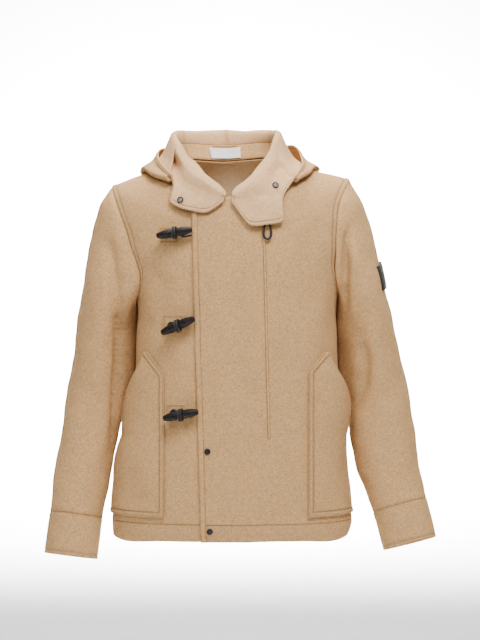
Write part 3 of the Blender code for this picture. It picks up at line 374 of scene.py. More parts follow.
def outer_edge(side, back):
    """Side seam and armhole together, from the hem seam up to the shoulder."""
    armhole = armhole_edge(side, back, ARMHOLE_ROWS)[::-1]
    heights = np.linspace(HEM_SEAM, ARMHOLE[side][-1, 0], SIDE_ROWS + 1)[:-1]
    seam = np.stack([np.full(SIDE_ROWS, armhole[0, 0]), (heights - FOOT) / STEP_DOWN], -1)
    return np.concatenate([seam, armhole])


def neck(side, turn):
    """Angle and rise of the neck line, turn degrees round from the centre front."""
    turn = np.radians(turn)
    low = np.where(np.cos(turn) > 0, NECK_RISE_FRONT, NECK_RISE_BACK)
    rise = low + (1 - low) * np.sin(turn) ** 2
    x = NECK_X + side * NECK_HALF * np.sin(turn)
    x_middle, half = 0.0, 0.25
    for _ in range(3):
        angle = np.arcsin(power((x - x_middle) / half, SQUARE / 2))
        z = body(np.where(np.cos(turn) > 0, angle, math.pi - angle), rise)[..., 2]
        row = smooth(BODY[:, 0], BODY[:, 1:], z)
        x_middle, half = row[..., 1], row[..., 0]
    return np.stack([np.where(np.cos(turn) >= 0, angle, math.pi - angle), rise], -1)


def panel(left, right, bottom, top, stitched):
    """Angles and rises of a panel's mesh, filled in between its four edges.

    The cells are even along each row, and closer by an end that is stitched. The other results
    are each point's distance from the left and the right end of its row.
    """
    v = np.linspace(0, 1, len(left))[:, None, None]

    def at(s):
        low, high = (np.stack([np.interp(s, (curve[:, 0] - curve[0, 0]) / (curve[-1, 0] - curve[0, 0]),
                                         curve[:, k]) for k in (0, 1)], -1) for curve in (bottom, top))
        s = s[..., None]
        corners = (1 - v) * mix(bottom[0], bottom[-1], s) + v * mix(top[0], top[-1], s)
        return mix(left[:, None], right[:, None], s) + (1 - v) * low + v * high - corners

    even = np.repeat(np.linspace(0, 1, 80)[None], len(left), axis=0)
    rough = at(even)
    length = along(body(rough[..., 0], rough[..., 1]), 1)
    close = np.array([0, 1.8, 3.4, 5.2, 7.0, 8.3, 9.0, 9.7, 11.2]) / 1000
    first, last = (close if end else np.zeros(1) for end in stitched)
    count = int(length[:, -1].max() / CELL)
    spread, share = [], []
    for k, whole in enumerate(length[:, -1]):
        middle = np.linspace(first[-1], whole - last[-1], count)
        spread.append(np.concatenate([first[:-1], middle, whole - last[-2::-1]]))
        share.append(np.interp(spread[-1], length[k], even[k]))
    spread = np.stack(spread)
    return at(np.stack(share)), spread, length[:, -1:] - spread


def lapped(grid, side, extra=0.0):
    """Face points and normals on a front: the left one lies out over the right one."""
    face, out = body(grid[..., 0], grid[..., 1]), body_out(grid[..., 0], grid[..., 1])
    lift = OVERLAP_LIFT * ease((FLAT_X - face[..., :1]) / SINK) * (side > 0)
    return face + out * (lift + extra), out


def folds(face, out, table):
    """How far soft folds move each point out: a table's rows are those of BODY_FOLDS."""
    moved = np.zeros(face.shape[:2])
    seen = face[..., [0, 2]]
    t = np.linspace(0, 1, 28)[:, None]
    for x0, z0, x1, z1, x2, z2, breadth, depth, side in table:
        ends = np.array([(x0, z0), (x2, z2)])
        pull = 2 * np.array((x1, z1)) - ends.mean(axis=0)
        line = (1 - t) ** 2 * ends[0] + 2 * t * (1 - t) * pull + t * t * ends[1]
        low, high = line.min(axis=0) - 3 * breadth, line.max(axis=0) + 3 * breadth
        near = ((seen > low) & (seen < high)).all(axis=-1)
        away = np.linalg.norm(seen[near][:, None] - line, axis=-1)
        fade = np.sin(math.pi * np.clip(t[away.argmin(axis=1), 0], 0.04, 0.96)) ** 0.7
        facing = ease(out[near][:, 1] * side * 2.2)
        moved[near] -= depth * bell(away.min(axis=1), breadth) * fade * facing
    return moved


def slack(face):
    """The cloth's own unevenness, under a millimetre, in long slow waves."""
    x, y, z = np.moveaxis(face, -1, 0)
    waves = (np.sin(61 * x + 37 * z) + np.sin(43 * z - 71 * y + 1.3) + np.sin(97 * x - 59 * z + 0.6)
             + 0.6 * np.sin(131 * z + 83 * x))
    return SLACK * waves


def allowance(distance):
    """The cloth stands up over the allowance beside a seam, and is drawn in at the stitches."""
    over = ALLOWANCE * (1 - ease((distance - STITCH_IN + 0.0006) / 0.0012))
    return over - 0.0011 * bell(distance, 0.0009, STITCH_IN)


def shell(name, face, out, thick, finishes, ring=False, keep=None, seam_shade=None, rounding=ROUND_EDGE):
    """A closed shell of cloth: a grid of face points, the same moved in, and a rounded edge."""
    rows, columns = face.shape[:2]
    size = rows * columns
    if keep is None:
        keep = np.ones((rows - 1, columns if ring else columns - 1), bool)
    i, j = np.nonzero(keep)
    k = (j + 1) % columns
    quads = np.stack([i * columns + j, i * columns + k, (i + 1) * columns + k, (i + 1) * columns + j], -1)
    spots, ways = face.reshape(-1, 3), out.reshape(-1, 3)
    half = np.broadcast_to(thick, (rows, columns)).reshape(-1, 1) / 2
    a, b, _, d = quads.T
    if np.sum(np.cross(spots[b] - spots[a], spots[d] - spots[a]) * ways[a]) < 0:
        quads = quads[:, ::-1]
    edges = np.concatenate([quads[:, [n, (n + 1) % 4]] for n in range(4)])
    border = edges[~np.isin(edges[:, 0] * size + edges[:, 1], edges[:, 1] * size + edges[:, 0])]
    inward = np.zeros_like(spots)
    centre = spots[quads].mean(axis=1)
    for n in range(4):
        np.add.at(inward, quads[:, n], centre - spots[quads[:, n]])
    rim = np.unique(border)
    inward = unit(inward[rim] - ways[rim] * np.sum(inward[rim] * ways[rim], axis=-1, keepdims=True))
    top = spots.copy()
    top[rim] += inward * rounding
    levels = [np.arange(size)]
    points = [top, top - 2 * half * ways]
    place = np.zeros(size, int)
    place[rim] = np.arange(len(rim))
    for turn in (45, 90, 135):
        cosine, sine = math.cos(math.radians(turn)), math.sin(math.radians(turn))
        levels.append(2 * size + len(rim) * (len(levels) - 1) + place)
        points.append(top[rim] + ways[rim] * half[rim] * (cosine - 1) - inward * rounding * sine)
    levels.append(np.arange(size) + size)
    u, v = border.T
    sides = [np.stack([high[v], high[u], low[u], low[v]], -1) for high, low in zip(levels, levels[1:])]
    faces = np.concatenate([quads, *sides, quads[:, ::-1] + size])
    points = np.concatenate(points)
    marks = np.zeros(len(points))
    # Each point's painted shade, the same on both faces.
    if seam_shade is not None:
        marks[:size] = marks[size:2 * size] = seam_shade.ravel()
    needed, renumbered = np.unique(faces, return_inverse=True)
    inner = np.arange(len(faces)) >= len(faces) - len(quads)
    return piece_of(name, points[needed], renumbered.reshape(faces.shape).tolist(), finishes,
                    marks[needed], inner)


def boiled_wool(name, dark, light, curl, curl_relief, haze):
    """Boiled wool: curls of fibre felted together, matt, with a haze of loose fibre ends.

    curl is the size of the mottle in metres, drawn coarser than the 1 mm fibre curls so that it
    shows from three metres. Along seams, stitch rows, grooves and the zip welt's edges, painted
    shade darkens the colour, read from a value stored on each point.
    """
    made, tree, shader = finish_named(name, Roughness=0.95, Specular_IOR_Level=0.12, IOR=1.45,
                                      Sheen_Weight=haze, Sheen_Roughness=0.55)
    shader.inputs["Sheen Tint"].default_value = linear("#e6c49c")
    place = add(tree, "TexCoord").outputs["Object"]
    curls = add(tree, "TexNoise", {"Vector": place, "Scale": 1 / curl, "Detail": 3.0, "Roughness": 0.6,
                                   "Distortion": 1.6})
    fibres = add(tree, "TexNoise", {"Vector": place, "Scale": 1 / 0.0009, "Detail": 2.0})
    clouds = add(tree, "TexNoise", {"Vector": place, "Scale": 1 / 0.05, "Detail": 2.0})
    mottle = add(tree, "MapRange", {"Value": curls.outputs["Fac"], "From Min": 0.36, "From Max": 0.64})
    grain = add(tree, "Mix", {0: 0.3, 2: mottle.outputs["Result"], 3: fibres.outputs["Fac"]})
    colour = add(tree, "Mix", {0: grain.outputs[0], 6: linear(dark), 7: linear(light)}, data_type="RGBA")
    cloudy = add(tree, "MapRange", {"Value": clouds.outputs["Fac"], "To Min": 0.955, "To Max": 1.045})
    # Painted shade: the stored value darkens the colour to 60% along seams, stitch rows and grooves.
    painted_shade = add(tree, "Attribute", attribute_name="seam_shade")
    shade = add(tree, "MapRange", {"Value": painted_shade.outputs["Fac"], "To Min": 1.0, "To Max": 0.60})
    dim = add(tree, "Math", {0: cloudy.outputs["Result"], 1: shade.outputs["Result"]}, operation="MULTIPLY")
    full = add(tree, "VectorMath", {0: colour.outputs[2], "Scale": dim.outputs["Value"]}, operation="SCALE")
    tree.links.new(full.outputs["Vector"], shader.inputs["Base Color"])
    height = add(tree, "Mix", {0: 0.35, 2: curls.outputs["Fac"], 3: fibres.outputs["Fac"]})
    bump = add(tree, "Bump", {"Height": height.outputs[0], "Strength": 0.55, "Distance": curl_relief})
    tree.links.new(bump.outputs["Normal"], shader.inputs["Normal"])
    return made


# The face is matt and mottled. The brushed back, which the collar flaps and the hood show, has
# coarser curls and less relief. The inside of body, hem and sleeves is paler and plainer.
FELT = boiled_wool("boiled wool face", "#9c7549", "#d3a976", 0.0030, 0.0013, 0.06)
FELT_BACK = boiled_wool("boiled wool brushed back", "#bd9167", "#d9b285", 0.0045, 0.0005, 0.06)
FELT_INSIDE = boiled_wool("boiled wool inside", "#cdae87", "#e8caa3", 0.0040, 0.0006, 0.03)


def cloth(made, slot_name, nodes):
    """Dresses a piece of cloth."""
    dressed(made, slot_name, *nodes)
    return made


def stitch_row(route, out, pitch=0.0036, length=0.0027, radius=0.00042):
    """Points and faces of a row of stitches along a route, half sunk into the cloth."""
    run = along(route)
    starts = np.arange(pitch / 2, run[-1] - length, pitch)
    turn = np.linspace(0, 2 * math.pi, 6, endpoint=False)
    points, faces = [], []
    for start in starts:
        place = start + length * np.array([0, 0.5, 1])
        line = np.stack([np.interp(place, run, route[:, k]) for k in range(3)], -1)
        up = unit(np.stack([np.interp(place, run, out[:, k]) for k in range(3)], -1))
        ahead = unit(line[2] - line[0])
        side = np.cross(ahead, up[1])
        lift = radius * np.array([-0.7, 0.45, -0.7])
        thick = radius * np.array([0.55, 1, 0.55])
        for k in range(3):
            points.append(line[k] + up[k] * lift[k]
                          + thick[k] * (np.cos(turn)[:, None] * side + np.sin(turn)[:, None] * up[k]))
        base = 18 * len(faces) // 14        # each stitch has 18 points and 14 faces
        for k in range(2):
            for n in range(6):
                m = (n + 1) % 6
                low = base + 6 * k
                faces.append([low + n, low + m, low + 6 + m, low + 6 + n])
        faces.append([base + n for n in range(5, -1, -1)])
        faces.append([base + 12 + n for n in range(6)])
    return (np.concatenate(points), faces) if points else (np.zeros((0, 3)), [])


def flecked(name, dark, light, size, detail=2.0, distortion=0.0, relief=None, **shader_values):
    """A finish whose colour wanders between two tones, in flecks of a size in metres.

    relief is the strength and height of the bumps that go with the flecks.
    """
    made, tree, shader = finish_named(name, **shader_values)
    place = add(tree, "TexCoord").outputs["Object"]
    flecks = add(tree, "TexNoise", {"Vector": place, "Scale": 1 / size, "Detail": detail,
                                    "Distortion": distortion}).outputs["Fac"]
    shade = add(tree, "Mix", {0: flecks, 6: linear(dark), 7: linear(light)}, data_type="RGBA")
    tree.links.new(shade.outputs[2], shader.inputs["Base Color"])
    if relief:
        bump = add(tree, "Bump", {"Height": flecks, "Strength": relief[0], "Distance": relief[1]})
        tree.links.new(bump.outputs["Normal"], shader.inputs["Normal"])
    return made


# Spun polyester sewing thread, twisted every 0.6 mm: a little glossier than the wool round it.
THREAD = flecked("brown polyester thread", "#6f543a", "#b79a78", 0.0006, Roughness=0.6,
                 Specular_IOR_Level=0.3)


def sewn(name, rows):
    """One joined mesh of several rows of stitches; a row is its route and the cloth's way out."""
    points, faces, count = [], [], 0
    for route, out in rows:
        new_points, new_faces = stitch_row(np.asarray(route), np.asarray(out))
        points.append(new_points)
        faces += [[count + n for n in face] for face in new_faces]
        count += len(new_points)
    return dressed(piece_of(name, np.concatenate(points), faces, [THREAD]), "wool")


def front_panel(side):
    """The mesh of one front, from the hem seam up to the neck, shoulder, armhole and side seam."""
    outer = outer_edge(side, False)
    edge_x = lap_x if side > 0 else (lambda z: np.full(np.shape(z), UNDERLAP_X))
    shift = EDGE_STRIP if side > 0 else 0.0
    high = OVERLAP_TOP[1] - BELOW_FLAP if side > 0 else UNDERLAP_TOP
    heights = np.concatenate([np.linspace(HEM_SEAM, ARMPIT_ROW, SIDE_ROWS + 1),
                              np.linspace(ARMPIT_ROW, high, ARMHOLE_ROWS + 1)[1:]])
    inner = np.stack(spot(edge_x(heights) + shift, heights), -1)
    line = neck(side, np.linspace(NECK_START, 90, 60))
    tip = armhole_edge(side, False, ARMHOLE_ROWS)[0]
    ridge = np.stack([np.linspace(line[-1, 0], tip[0], 30)[1:], np.ones(29)], -1)
    top = np.concatenate([inner[-1:], line, ridge])
    bottom = np.stack([np.linspace(inner[0, 0], outer[0, 0], 40), np.full(40, outer[0, 1])], -1)
    return panel(inner, outer, bottom, top, (False, True))


def lap_x(z):
    """x of the lapping front's edge at a height."""
    part = (z - OVERLAP_TOP[1]) / (OVERLAP_END[1] - OVERLAP_TOP[1])
    return OVERLAP_TOP[0] + (OVERLAP_END[0] - OVERLAP_TOP[0]) * part


seam_rows = []


def sewn_panel(name, face, out, distances, cut):
    """Folds and seams a panel of the body, dresses it, and adds its armhole rows to seam_rows.

    distances are those of each point from the panel's sewn sides.
    """
    by_armhole = ease((np.arange(len(face)) - SIDE_ROWS) / 8)[:, None]
    from_seam = np.minimum(distances[0], distances[-1])
    moved = allowance(from_seam) * by_armhole + folds(face, out, BODY_FOLDS) + slack(face)
    face = face + out * moved[..., None]
    # Painted shade along the armhole's row of stitches and at the sewn edges.
    seam_shade = bell(from_seam, STITCH_SHADE, STITCH_IN) * by_armhole + 0.5 * bell(from_seam, 0.003)
    for distance in distances:
        column = int(np.abs(distance[-1] - STITCH_IN).argmin())
        seam_rows.append((face[SIDE_ROWS + 4:, column], out[SIDE_ROWS + 4:, column]))
    cloth(shell(name + "_wool", face, out, WOOL, (FELT, FELT_INSIDE), seam_shade=seam_shade), "wool", [name])


for side, name, cut in ((1, "front_left", (0.36, 0.70, 0.205)), (-1, "front_right", (0.28, 0.69, 0.155))):
    grid, _, from_seam = front_panel(side)
    sewn_panel(name, *lapped(grid, side), [from_seam], cut)

right, left = outer_edge(1, True), outer_edge(-1, True)
over = neck(1, np.linspace(90, 180, 60))
across = neck(-1, np.linspace(180, 90, 60))[1:]
across[:, 0] = across[:, 0] % (2 * math.pi)
tops = [np.stack([np.linspace(a, b, 30), np.ones(30)], -1)
        for a, b in ((right[-1, 0], over[0, 0]), (across[-1, 0], left[-1, 0]))]
top = np.concatenate([tops[0][:-1], over, across, tops[1][1:]])
bottom = np.stack([np.linspace(right[0, 0], left[0, 0], 60), np.full(60, right[0, 1])], -1)
grid, from_left, from_right = panel(right, left, bottom, top, (True, True))
face, out = (of(grid[..., 0], grid[..., 1]) for of in (body, body_out))
sewn_panel("back", face, out, [from_left, from_right], (0.60, 0.72, 0.37))
sewn("armhole_stitches", seam_rows)

heights = np.linspace(HEM_END, OVERLAP_TOP[1] - BELOW_FLAP, 210)
across = np.linspace(0, EDGE_STRIP, 9)[None]
angle, rise = spot(lap_x(heights)[:, None] + across, np.repeat(heights[:, None], 9, axis=1))
face, out = lapped(np.stack([angle, rise], -1), 1, EDGE_PROUD)
round_over = 0.0010 * (1 - (2 * across[0] / EDGE_STRIP - 1) ** 2)
face = face + out * (round_over[None] + slack(face))[..., None]
cloth(shell("front_edge_wool", face, out, WOOL + EDGE_PROUD, (FELT, FELT_BACK), rounding=0.0010),
      "wool", ["front_edge"])
sewn("front_edge_stitches", [(face[:, -2] - out[:, -2] * 0.0003, out[:, -2])])

# ---- Hem ------------------------------------------------------------------------------------
# A band of the same wool, doubled over and sewn to the lower edge of the fronts and the back. It
# is drawn in at its seam, and the left front's part laps over the right one's.
HEM_CORNER, HEM_DROP = math.radians(55), 0.0045     # the hem hangs lowest at its front corners
heights = np.concatenate([np.linspace(HEM_END, HEM_SEAM - 0.004, 10),
                          HEM_SEAM - np.array([0.0026, 0.0014, 0.0005, 0])])
quarter = np.full(len(heights), math.pi / 2)
left_start = spot(lap_x(heights) + EDGE_STRIP, heights)[0]
right_start = spot(np.full(len(heights), UNDERLAP_X), heights)[0]
for name, first, last, columns, side, cut in (
        ("hem_front_left", left_start, quarter, 100, 1, (0.31, 0.033, 0.0100)),
        ("hem_front_right", right_start, -quarter, 84, -1, (0.25, 0.033, 0.0080)),
        ("hem_back", quarter, 3 * quarter, 190, 0, (0.585, 0.033, 0.0190))):
    angle = np.linspace(first, last, columns, axis=-1)
    rise = np.repeat((heights[:, None] - FOOT) / STEP_DOWN, columns, axis=1)
    face, out = lapped(np.stack([angle, rise], -1), side)
    from_seam = (HEM_SEAM - heights)[:, None]
    round_edge = -0.0016 * (1 - ease((heights - HEM_END) / 0.008))[:, None]
    drawn = -0.0010 * bell(from_seam, 0.0012)
    moved = drawn + round_edge * 0.5 + slack(face) + folds(face, out, BODY_FOLDS) * 0.6
    face = face + out * moved[..., None]
    corner = bell(np.abs(angle), 0.30, HEM_CORNER) * (side != 0)
    face[..., 2] -= HEM_DROP * corner * ease(from_seam / 0.03)
    # Painted shade along the hem seam.
    seam_shade = 0.8 * bell(from_seam, 0.0022) * np.ones(angle.shape)
    cloth(shell(name + "_wool", face, out, WOOL, (FELT, FELT_INSIDE), seam_shade=seam_shade), "wool", [name])

# ---- Sleeves and cuffs ----------------------------------------------------------------------
# Set-in sleeves that hang a little forward, each with a long soft fold down its inner side where
# the cloth is slack and shallower ones along the arm. A separate cuff is sewn round the end, with
# a row of brown stitches near its edge.
SLEEVE = {
    -1: np.array([
        # height, x, y, half_width, half_depth
        (-0.300, 0.2440, 0.014, 0.0500, 0.078), (-0.360, 0.2500, 0.020, 0.0525, 0.073),
        (-0.430, 0.2590, 0.022, 0.0550, 0.067), (-0.500, 0.2695, 0.016, 0.0550, 0.062),
        (-0.560, 0.2802, 0.006, 0.0533, 0.058), (-0.610, 0.2873, -0.004, 0.0518, 0.053),
        (-0.658, 0.2935, -0.013, 0.0500, 0.049), (-0.733, 0.3025, -0.027, 0.0490, 0.047),
    ]),
    1: np.array([
        (-0.300, 0.2590, 0.014, 0.0490, 0.078), (-0.360, 0.2680, 0.022, 0.0540, 0.074),
        (-0.430, 0.2800, 0.024, 0.0590, 0.069), (-0.500, 0.2880, 0.018, 0.0620, 0.064),
        (-0.550, 0.2945, 0.008, 0.0600, 0.059), (-0.590, 0.3040, 0.000, 0.0560, 0.054),
        (-0.640, 0.3188, -0.010, 0.0525, 0.050), (-0.710, 0.3367, -0.024, 0.0510, 0.048),
    ]),
}
CUFF_ROW = 6                # the row of that table where the cuff is sewn on
CUFF_PROUD = 0.0012
CAP_FLAT = {-1: 0.5, 1: 1.0}    # how straight the outer side of the sleeve's cap falls to the arm
AROUND = 120                # points round a sleeve
CUFF_STITCH = 0.0065        # from the cuff's end to its row of stitches
CAP_FULL, INNER_FULL = 0.0098, 0.024    # how far the cap and the side by the body are filled out
INNER_AT, INNER_BREADTH = math.radians(197), 0.46   # where round the sleeve it lies against the body
SIDE_CLEAR = 0.0022         # between the sleeve and the side of the body
ARMPIT_FOOT = -0.246        # height below which the sleeve hangs free of its armhole
SLEEVE_FOLDS = (
    # x0, z0, x1, z1, x2, z2, breadth, depth, side
    (-0.232, -0.129, -0.216, -0.221, -0.2085, -0.336, 0.012, 0.0100, -1),
    (-0.2085, -0.290, -0.213, -0.420, -0.2226, -0.540, 0.009, 0.0190, -1),
    (-0.1987, -0.230, -0.1890, -0.300, -0.1861, -0.360, 0.008, -0.0035, -1),
    (-0.248, -0.200, -0.246, -0.330, -0.254, -0.470, 0.020, -0.0030, -1),
    (-0.270, -0.380, -0.262, -0.470, -0.270, -0.570, 0.018, 0.0030, -1),
    (0.2165, -0.120, 0.2116, -0.184, 0.2030, -0.310, 0.010, 0.0180, -1),
    (0.239, -0.325, 0.2493, -0.385, 0.2240, -0.470, 0.012, 0.0120, -1),
    (0.270, -0.330, 0.281, -0.400, 0.268, -0.480, 0.014, -0.0035, -1),
    (0.252, -0.170, 0.262, -0.260, 0.268, -0.340, 0.018, -0.0025, -1),
    (0.300, -0.480, 0.290, -0.550, 0.302, -0.620, 0.016, 0.0035, -1),
    (-0.228, -0.120, -0.214, -0.220, -0.210, -0.330, 0.014, 0.0065, 1),
    (-0.232, -0.330, -0.236, -0.430, -0.250, -0.520, 0.016, 0.0055, 1),
    (-0.280, -0.300, -0.268, -0.400, -0.282, -0.500, 0.016, 0.0040, 1),
    (0.222, -0.120, 0.212, -0.220, 0.216, -0.320, 0.014, 0.0070, 1),
    (0.262, -0.300, 0.252, -0.400, 0.268, -0.500, 0.016, 0.0060, 1),
    (0.308, -0.360, 0.296, -0.450, 0.312, -0.560, 0.016, 0.0035, 1),
)


def sleeve_ring(side, row, around):
    """One cross-section of a sleeve, square to its middle line; row counts down its table."""
    table = SLEEVE[side]
    count = np.arange(len(table))
    height, x, y, width, depth = (smooth(count, table[:, k], row) for k in range(5))
    ahead, behind = (np.array([side * smooth(count, table[:, 1], at), smooth(count, table[:, 2], at),
                               smooth(count, table[:, 0], at)])
                     for at in (min(row + 0.05, count[-1]), max(row - 0.05, 0)))
    down = unit(ahead - behind)
    outward = unit(np.array([side, 0, 0]) - down * down[0] * side)
    forward = unit(np.array([0, -1, 0]) + down * down[1])
    return (np.array([side * x, y, height]) + np.cos(around)[:, None] * outward * width
            + np.sin(around)[:, None] * forward * depth), down


def armhole_loop(side, of, parts):
    """Points or normals round the armhole: from the shoulder down the front, up the back."""
    front_edge, back_edge = (of(*armhole_edge(side, back, parts).T) for back in (False, True))
    return np.concatenate([front_edge[:-1], back_edge[:0:-1], front_edge[:1]])


def sleeve(side, runs, around, proud=0.0, parts=10):
    """A sleeve's face and normals. A run of 0 is the armhole, 1 the ring below it, then table rows."""
    place = around / math.pi * parts
    start, off = (smooth(np.arange(2 * parts + 1), armhole_loop(side, of, parts), place)
                  for of in (body, body_out))
    start = start + off * (2 * SEAM * (1 - np.cos(around)))[:, None]
    first, down = sleeve_ring(side, 0, around)
    chord = np.linalg.norm(first - start, axis=1, keepdims=True)
    outer, inner = (np.clip(sign * np.cos(around), 0, 1) for sign in (1, -1))
    leave = unit(np.stack([side * (0.66 + 0.17 * outer - 0.27 * inner), -0.15 * np.sin(around),
                           -0.645 - 0.68 * outer - 0.285 * inner], -1))
    leave = leave * (0.85 - 0.53 * outer)[:, None]
    arrive = down * (1.05 - CAP_FLAT[side] * outer)[:, None]
    rows = []
    for t in runs:
        if t < 1:
            rows.append((1 + 2 * t) * (1 - t) ** 2 * start + t * (1 - t) ** 2 * chord * leave
                        + t * t * (3 - 2 * t) * first + t * t * (t - 1) * chord * arrive)
        else:
            rows.append(sleeve_ring(side, t - 1, around)[0])
    face = np.stack(rows)
    across = np.roll(face, -1, axis=1) - np.roll(face, 1, axis=1)
    out = unit(np.cross(np.gradient(face, axis=0), across)) * -side
    if runs[0] == 0:
        over_shoulder = np.clip(2 * np.cos(around), 0, 1)[:, None]
        out[0] = unit(mix(out[0], off, over_shoulder))
    return face + out * proud, out


def filled_out(z, around):
    """How far the cloth stands out from the plain sleeve: at its cap, and towards the body's side."""
    cap = CAP_FULL * ease((z + 0.300) / 0.20) * ease((-0.028 - z) / 0.05)
    inner = INNER_FULL * ease((-0.234 - z) / 0.020) * ease((z + 0.440) / 0.05)
    return cap * np.clip(np.cos(around), 0, 1) ** 2 + inner * bell(around, INNER_BREADTH, INNER_AT)


def off_side(face):
    """Sleeve points below the armpit, moved out to hang just clear of the side of the body."""
    row = smooth(BODY[:, 0], BODY[:, 1:], face[..., 2])
    middle = np.stack([row[..., 1], np.full(row.shape[:-1], MIDDLE_Y), face[..., 2]], -1)
    level = face - middle
    depth = np.where(level[..., 1] < 0, row[..., 2], row[..., 3])
    parts = np.abs(level[..., 0] / row[..., 0]) ** SQUARE + np.abs(level[..., 1] / depth) ** SQUARE
    reach = parts ** (1 / SQUARE)
    push = np.maximum((1 + SIDE_CLEAR / row[..., 0]) / reach, 1)
    return np.where((face[..., 2] < ARMPIT_FOOT)[..., None], middle + level * push[..., None], face)


around = np.linspace(0, 2 * math.pi, AROUND, endpoint=False)
cap = np.concatenate([[0, 0.004, 0.010, 0.018, 0.028], np.linspace(0.045, 0.98, 54)])
arm = np.linspace(1, 1 + CUFF_ROW, 108)
for side, name in ((-1, "right"), (1, "left")):
    face, out = sleeve(side, np.concatenate([cap, arm]), around)
    rows = np.arange(len(face))[:, None]
    fade = ease(rows / 14) * ease((len(face) - 1 - rows) / 5)
    sunk = -0.0010 * bell(rows, 2.0)
    full = filled_out(face[..., 2], around) * ease(rows / 7)
    moved = (folds(face, out, SLEEVE_FOLDS) + slack(face) * 1.6) * fade + sunk + full
    face = off_side(face + out * moved[..., None])
    # Painted shade along the armhole seam and the seam to the cuff.
    seam_shade = (0.7 * bell(rows, 2.2) + 0.6 * bell(len(face) - 1 - rows, 1.2)) * np.ones(AROUND)
    cloth(shell(f"sleeve_{name}_wool", face, out, WOOL, (FELT, FELT_INSIDE), ring=True, seam_shade=seam_shade),
          "wool", ["sleeve_" + name])
    face, out = sleeve(side, np.linspace(1 + CUFF_ROW, 2 + CUFF_ROW, 26), around, CUFF_PROUD)
    down = np.linalg.norm(face - face[0], axis=-1).mean(axis=1)
    edge = down[-1] - down
    shape = -0.0010 * bell(down, 0.0016) - 0.0009 * bell(edge, 0.0012, CUFF_STITCH)
    face = face + out * (shape[:, None] + 0.8 * slack(face))[..., None]
    # Painted shade along the cuff's seam and its row of stitches.
    seam_shade = (0.8 * bell(down, 0.0022) + 0.8 * bell(edge, 0.0018, CUFF_STITCH))[:, None]
    cloth(shell(f"cuff_{name}_wool", face, out, WOOL + CUFF_PROUD, (FELT, FELT_BACK), ring=True,
                seam_shade=seam_shade * np.ones(AROUND)), "wool", ["cuff_" + name])
    row = int(np.abs(edge - CUFF_STITCH).argmin())
    loop = np.concatenate([face[row], face[row, :1]])
    ways = np.concatenate([out[row], out[row, :1]])
    sewn("cuff_stitches_" + name, [(loop, ways)])

# ---- Sleeve patch ---------------------------------------------------------------------------
# A plain rectangle of dark pressed felt, laid on the outer side of the left sleeve and sewn down
# round its border. It follows the sleeve's fullness and folds.
ARM_PATCH = (0.54, 0.675)       # counted in runs of the sleeve
ARM_PATCH_AROUND = (-2, 8)      # forward from its outer side, in ninetieths of the way round
ARM_PATCH_THICK, ARM_PATCH_PROUD = 0.0042, 0.0045
ARM_PATCH_ROWS, ARM_PATCH_COLUMNS = 30, 34
BORDER_ROW = 0.86               # where its stitches run, from its middle (0) to its edge (1)

# Pressed felt, smoother than the boiled wool and dyed in the piece: matt, with fine fibres.
DARK_FELT = flecked("dark brown felt", "#1c1815", "#332c27", 0.0018, 4.0, 0.8, (0.4, 0.0004),
                    Roughness=0.9, Specular_IOR_Level=0.2, Sheen_Weight=0.12)
turns = np.linspace(*ARM_PATCH_AROUND, ARM_PATCH_COLUMNS) * 2 * math.pi / 90
ring = np.concatenate([turns, turns[::-1] + math.pi])   # closed over the far side, which is cut off
face, out = sleeve(1, np.linspace(*ARM_PATCH, ARM_PATCH_ROWS), ring)
face, out = face[:, :ARM_PATCH_COLUMNS], out[:, :ARM_PATCH_COLUMNS]
stand = (SEAM + ARM_PATCH_PROUD + filled_out(face[..., 2], turns) + folds(face, out, SLEEVE_FOLDS)
         + 1.6 * slack(face))
face = face + out * stand[..., None]
across, up = np.linspace(-1, 1, ARM_PATCH_COLUMNS)[None], np.linspace(-1, 1, ARM_PATCH_ROWS)[:, None]
border = np.maximum(np.abs(across), np.abs(up))
face = face - out * (0.0008 * bell(border, 0.05, BORDER_ROW))[..., None]
wide, tall = (round(float(along(line)[-1]), 4) for line in (face[15], face[:, 17]))
cloth(shell("sleeve_patch_felt", face, out, ARM_PATCH_THICK, (DARK_FELT, DARK_FELT)), "dark_patch",
      ["sleeve_patch"])
spots = []
for turn in np.linspace(0, 2 * math.pi, 161):
    cosine, sine = math.cos(turn), math.sin(turn)
    x, y = (BORDER_ROW * part / max(abs(cosine), abs(sine)) for part in (cosine, sine))
    spots.append((int(round((y + 1) / 2 * (ARM_PATCH_ROWS - 1))),
                  int(round((x + 1) / 2 * (ARM_PATCH_COLUMNS - 1)))))
sewn("sleeve_patch_stitches", [([face[i, j] for i, j in spots], [out[i, j] for i, j in spots])])

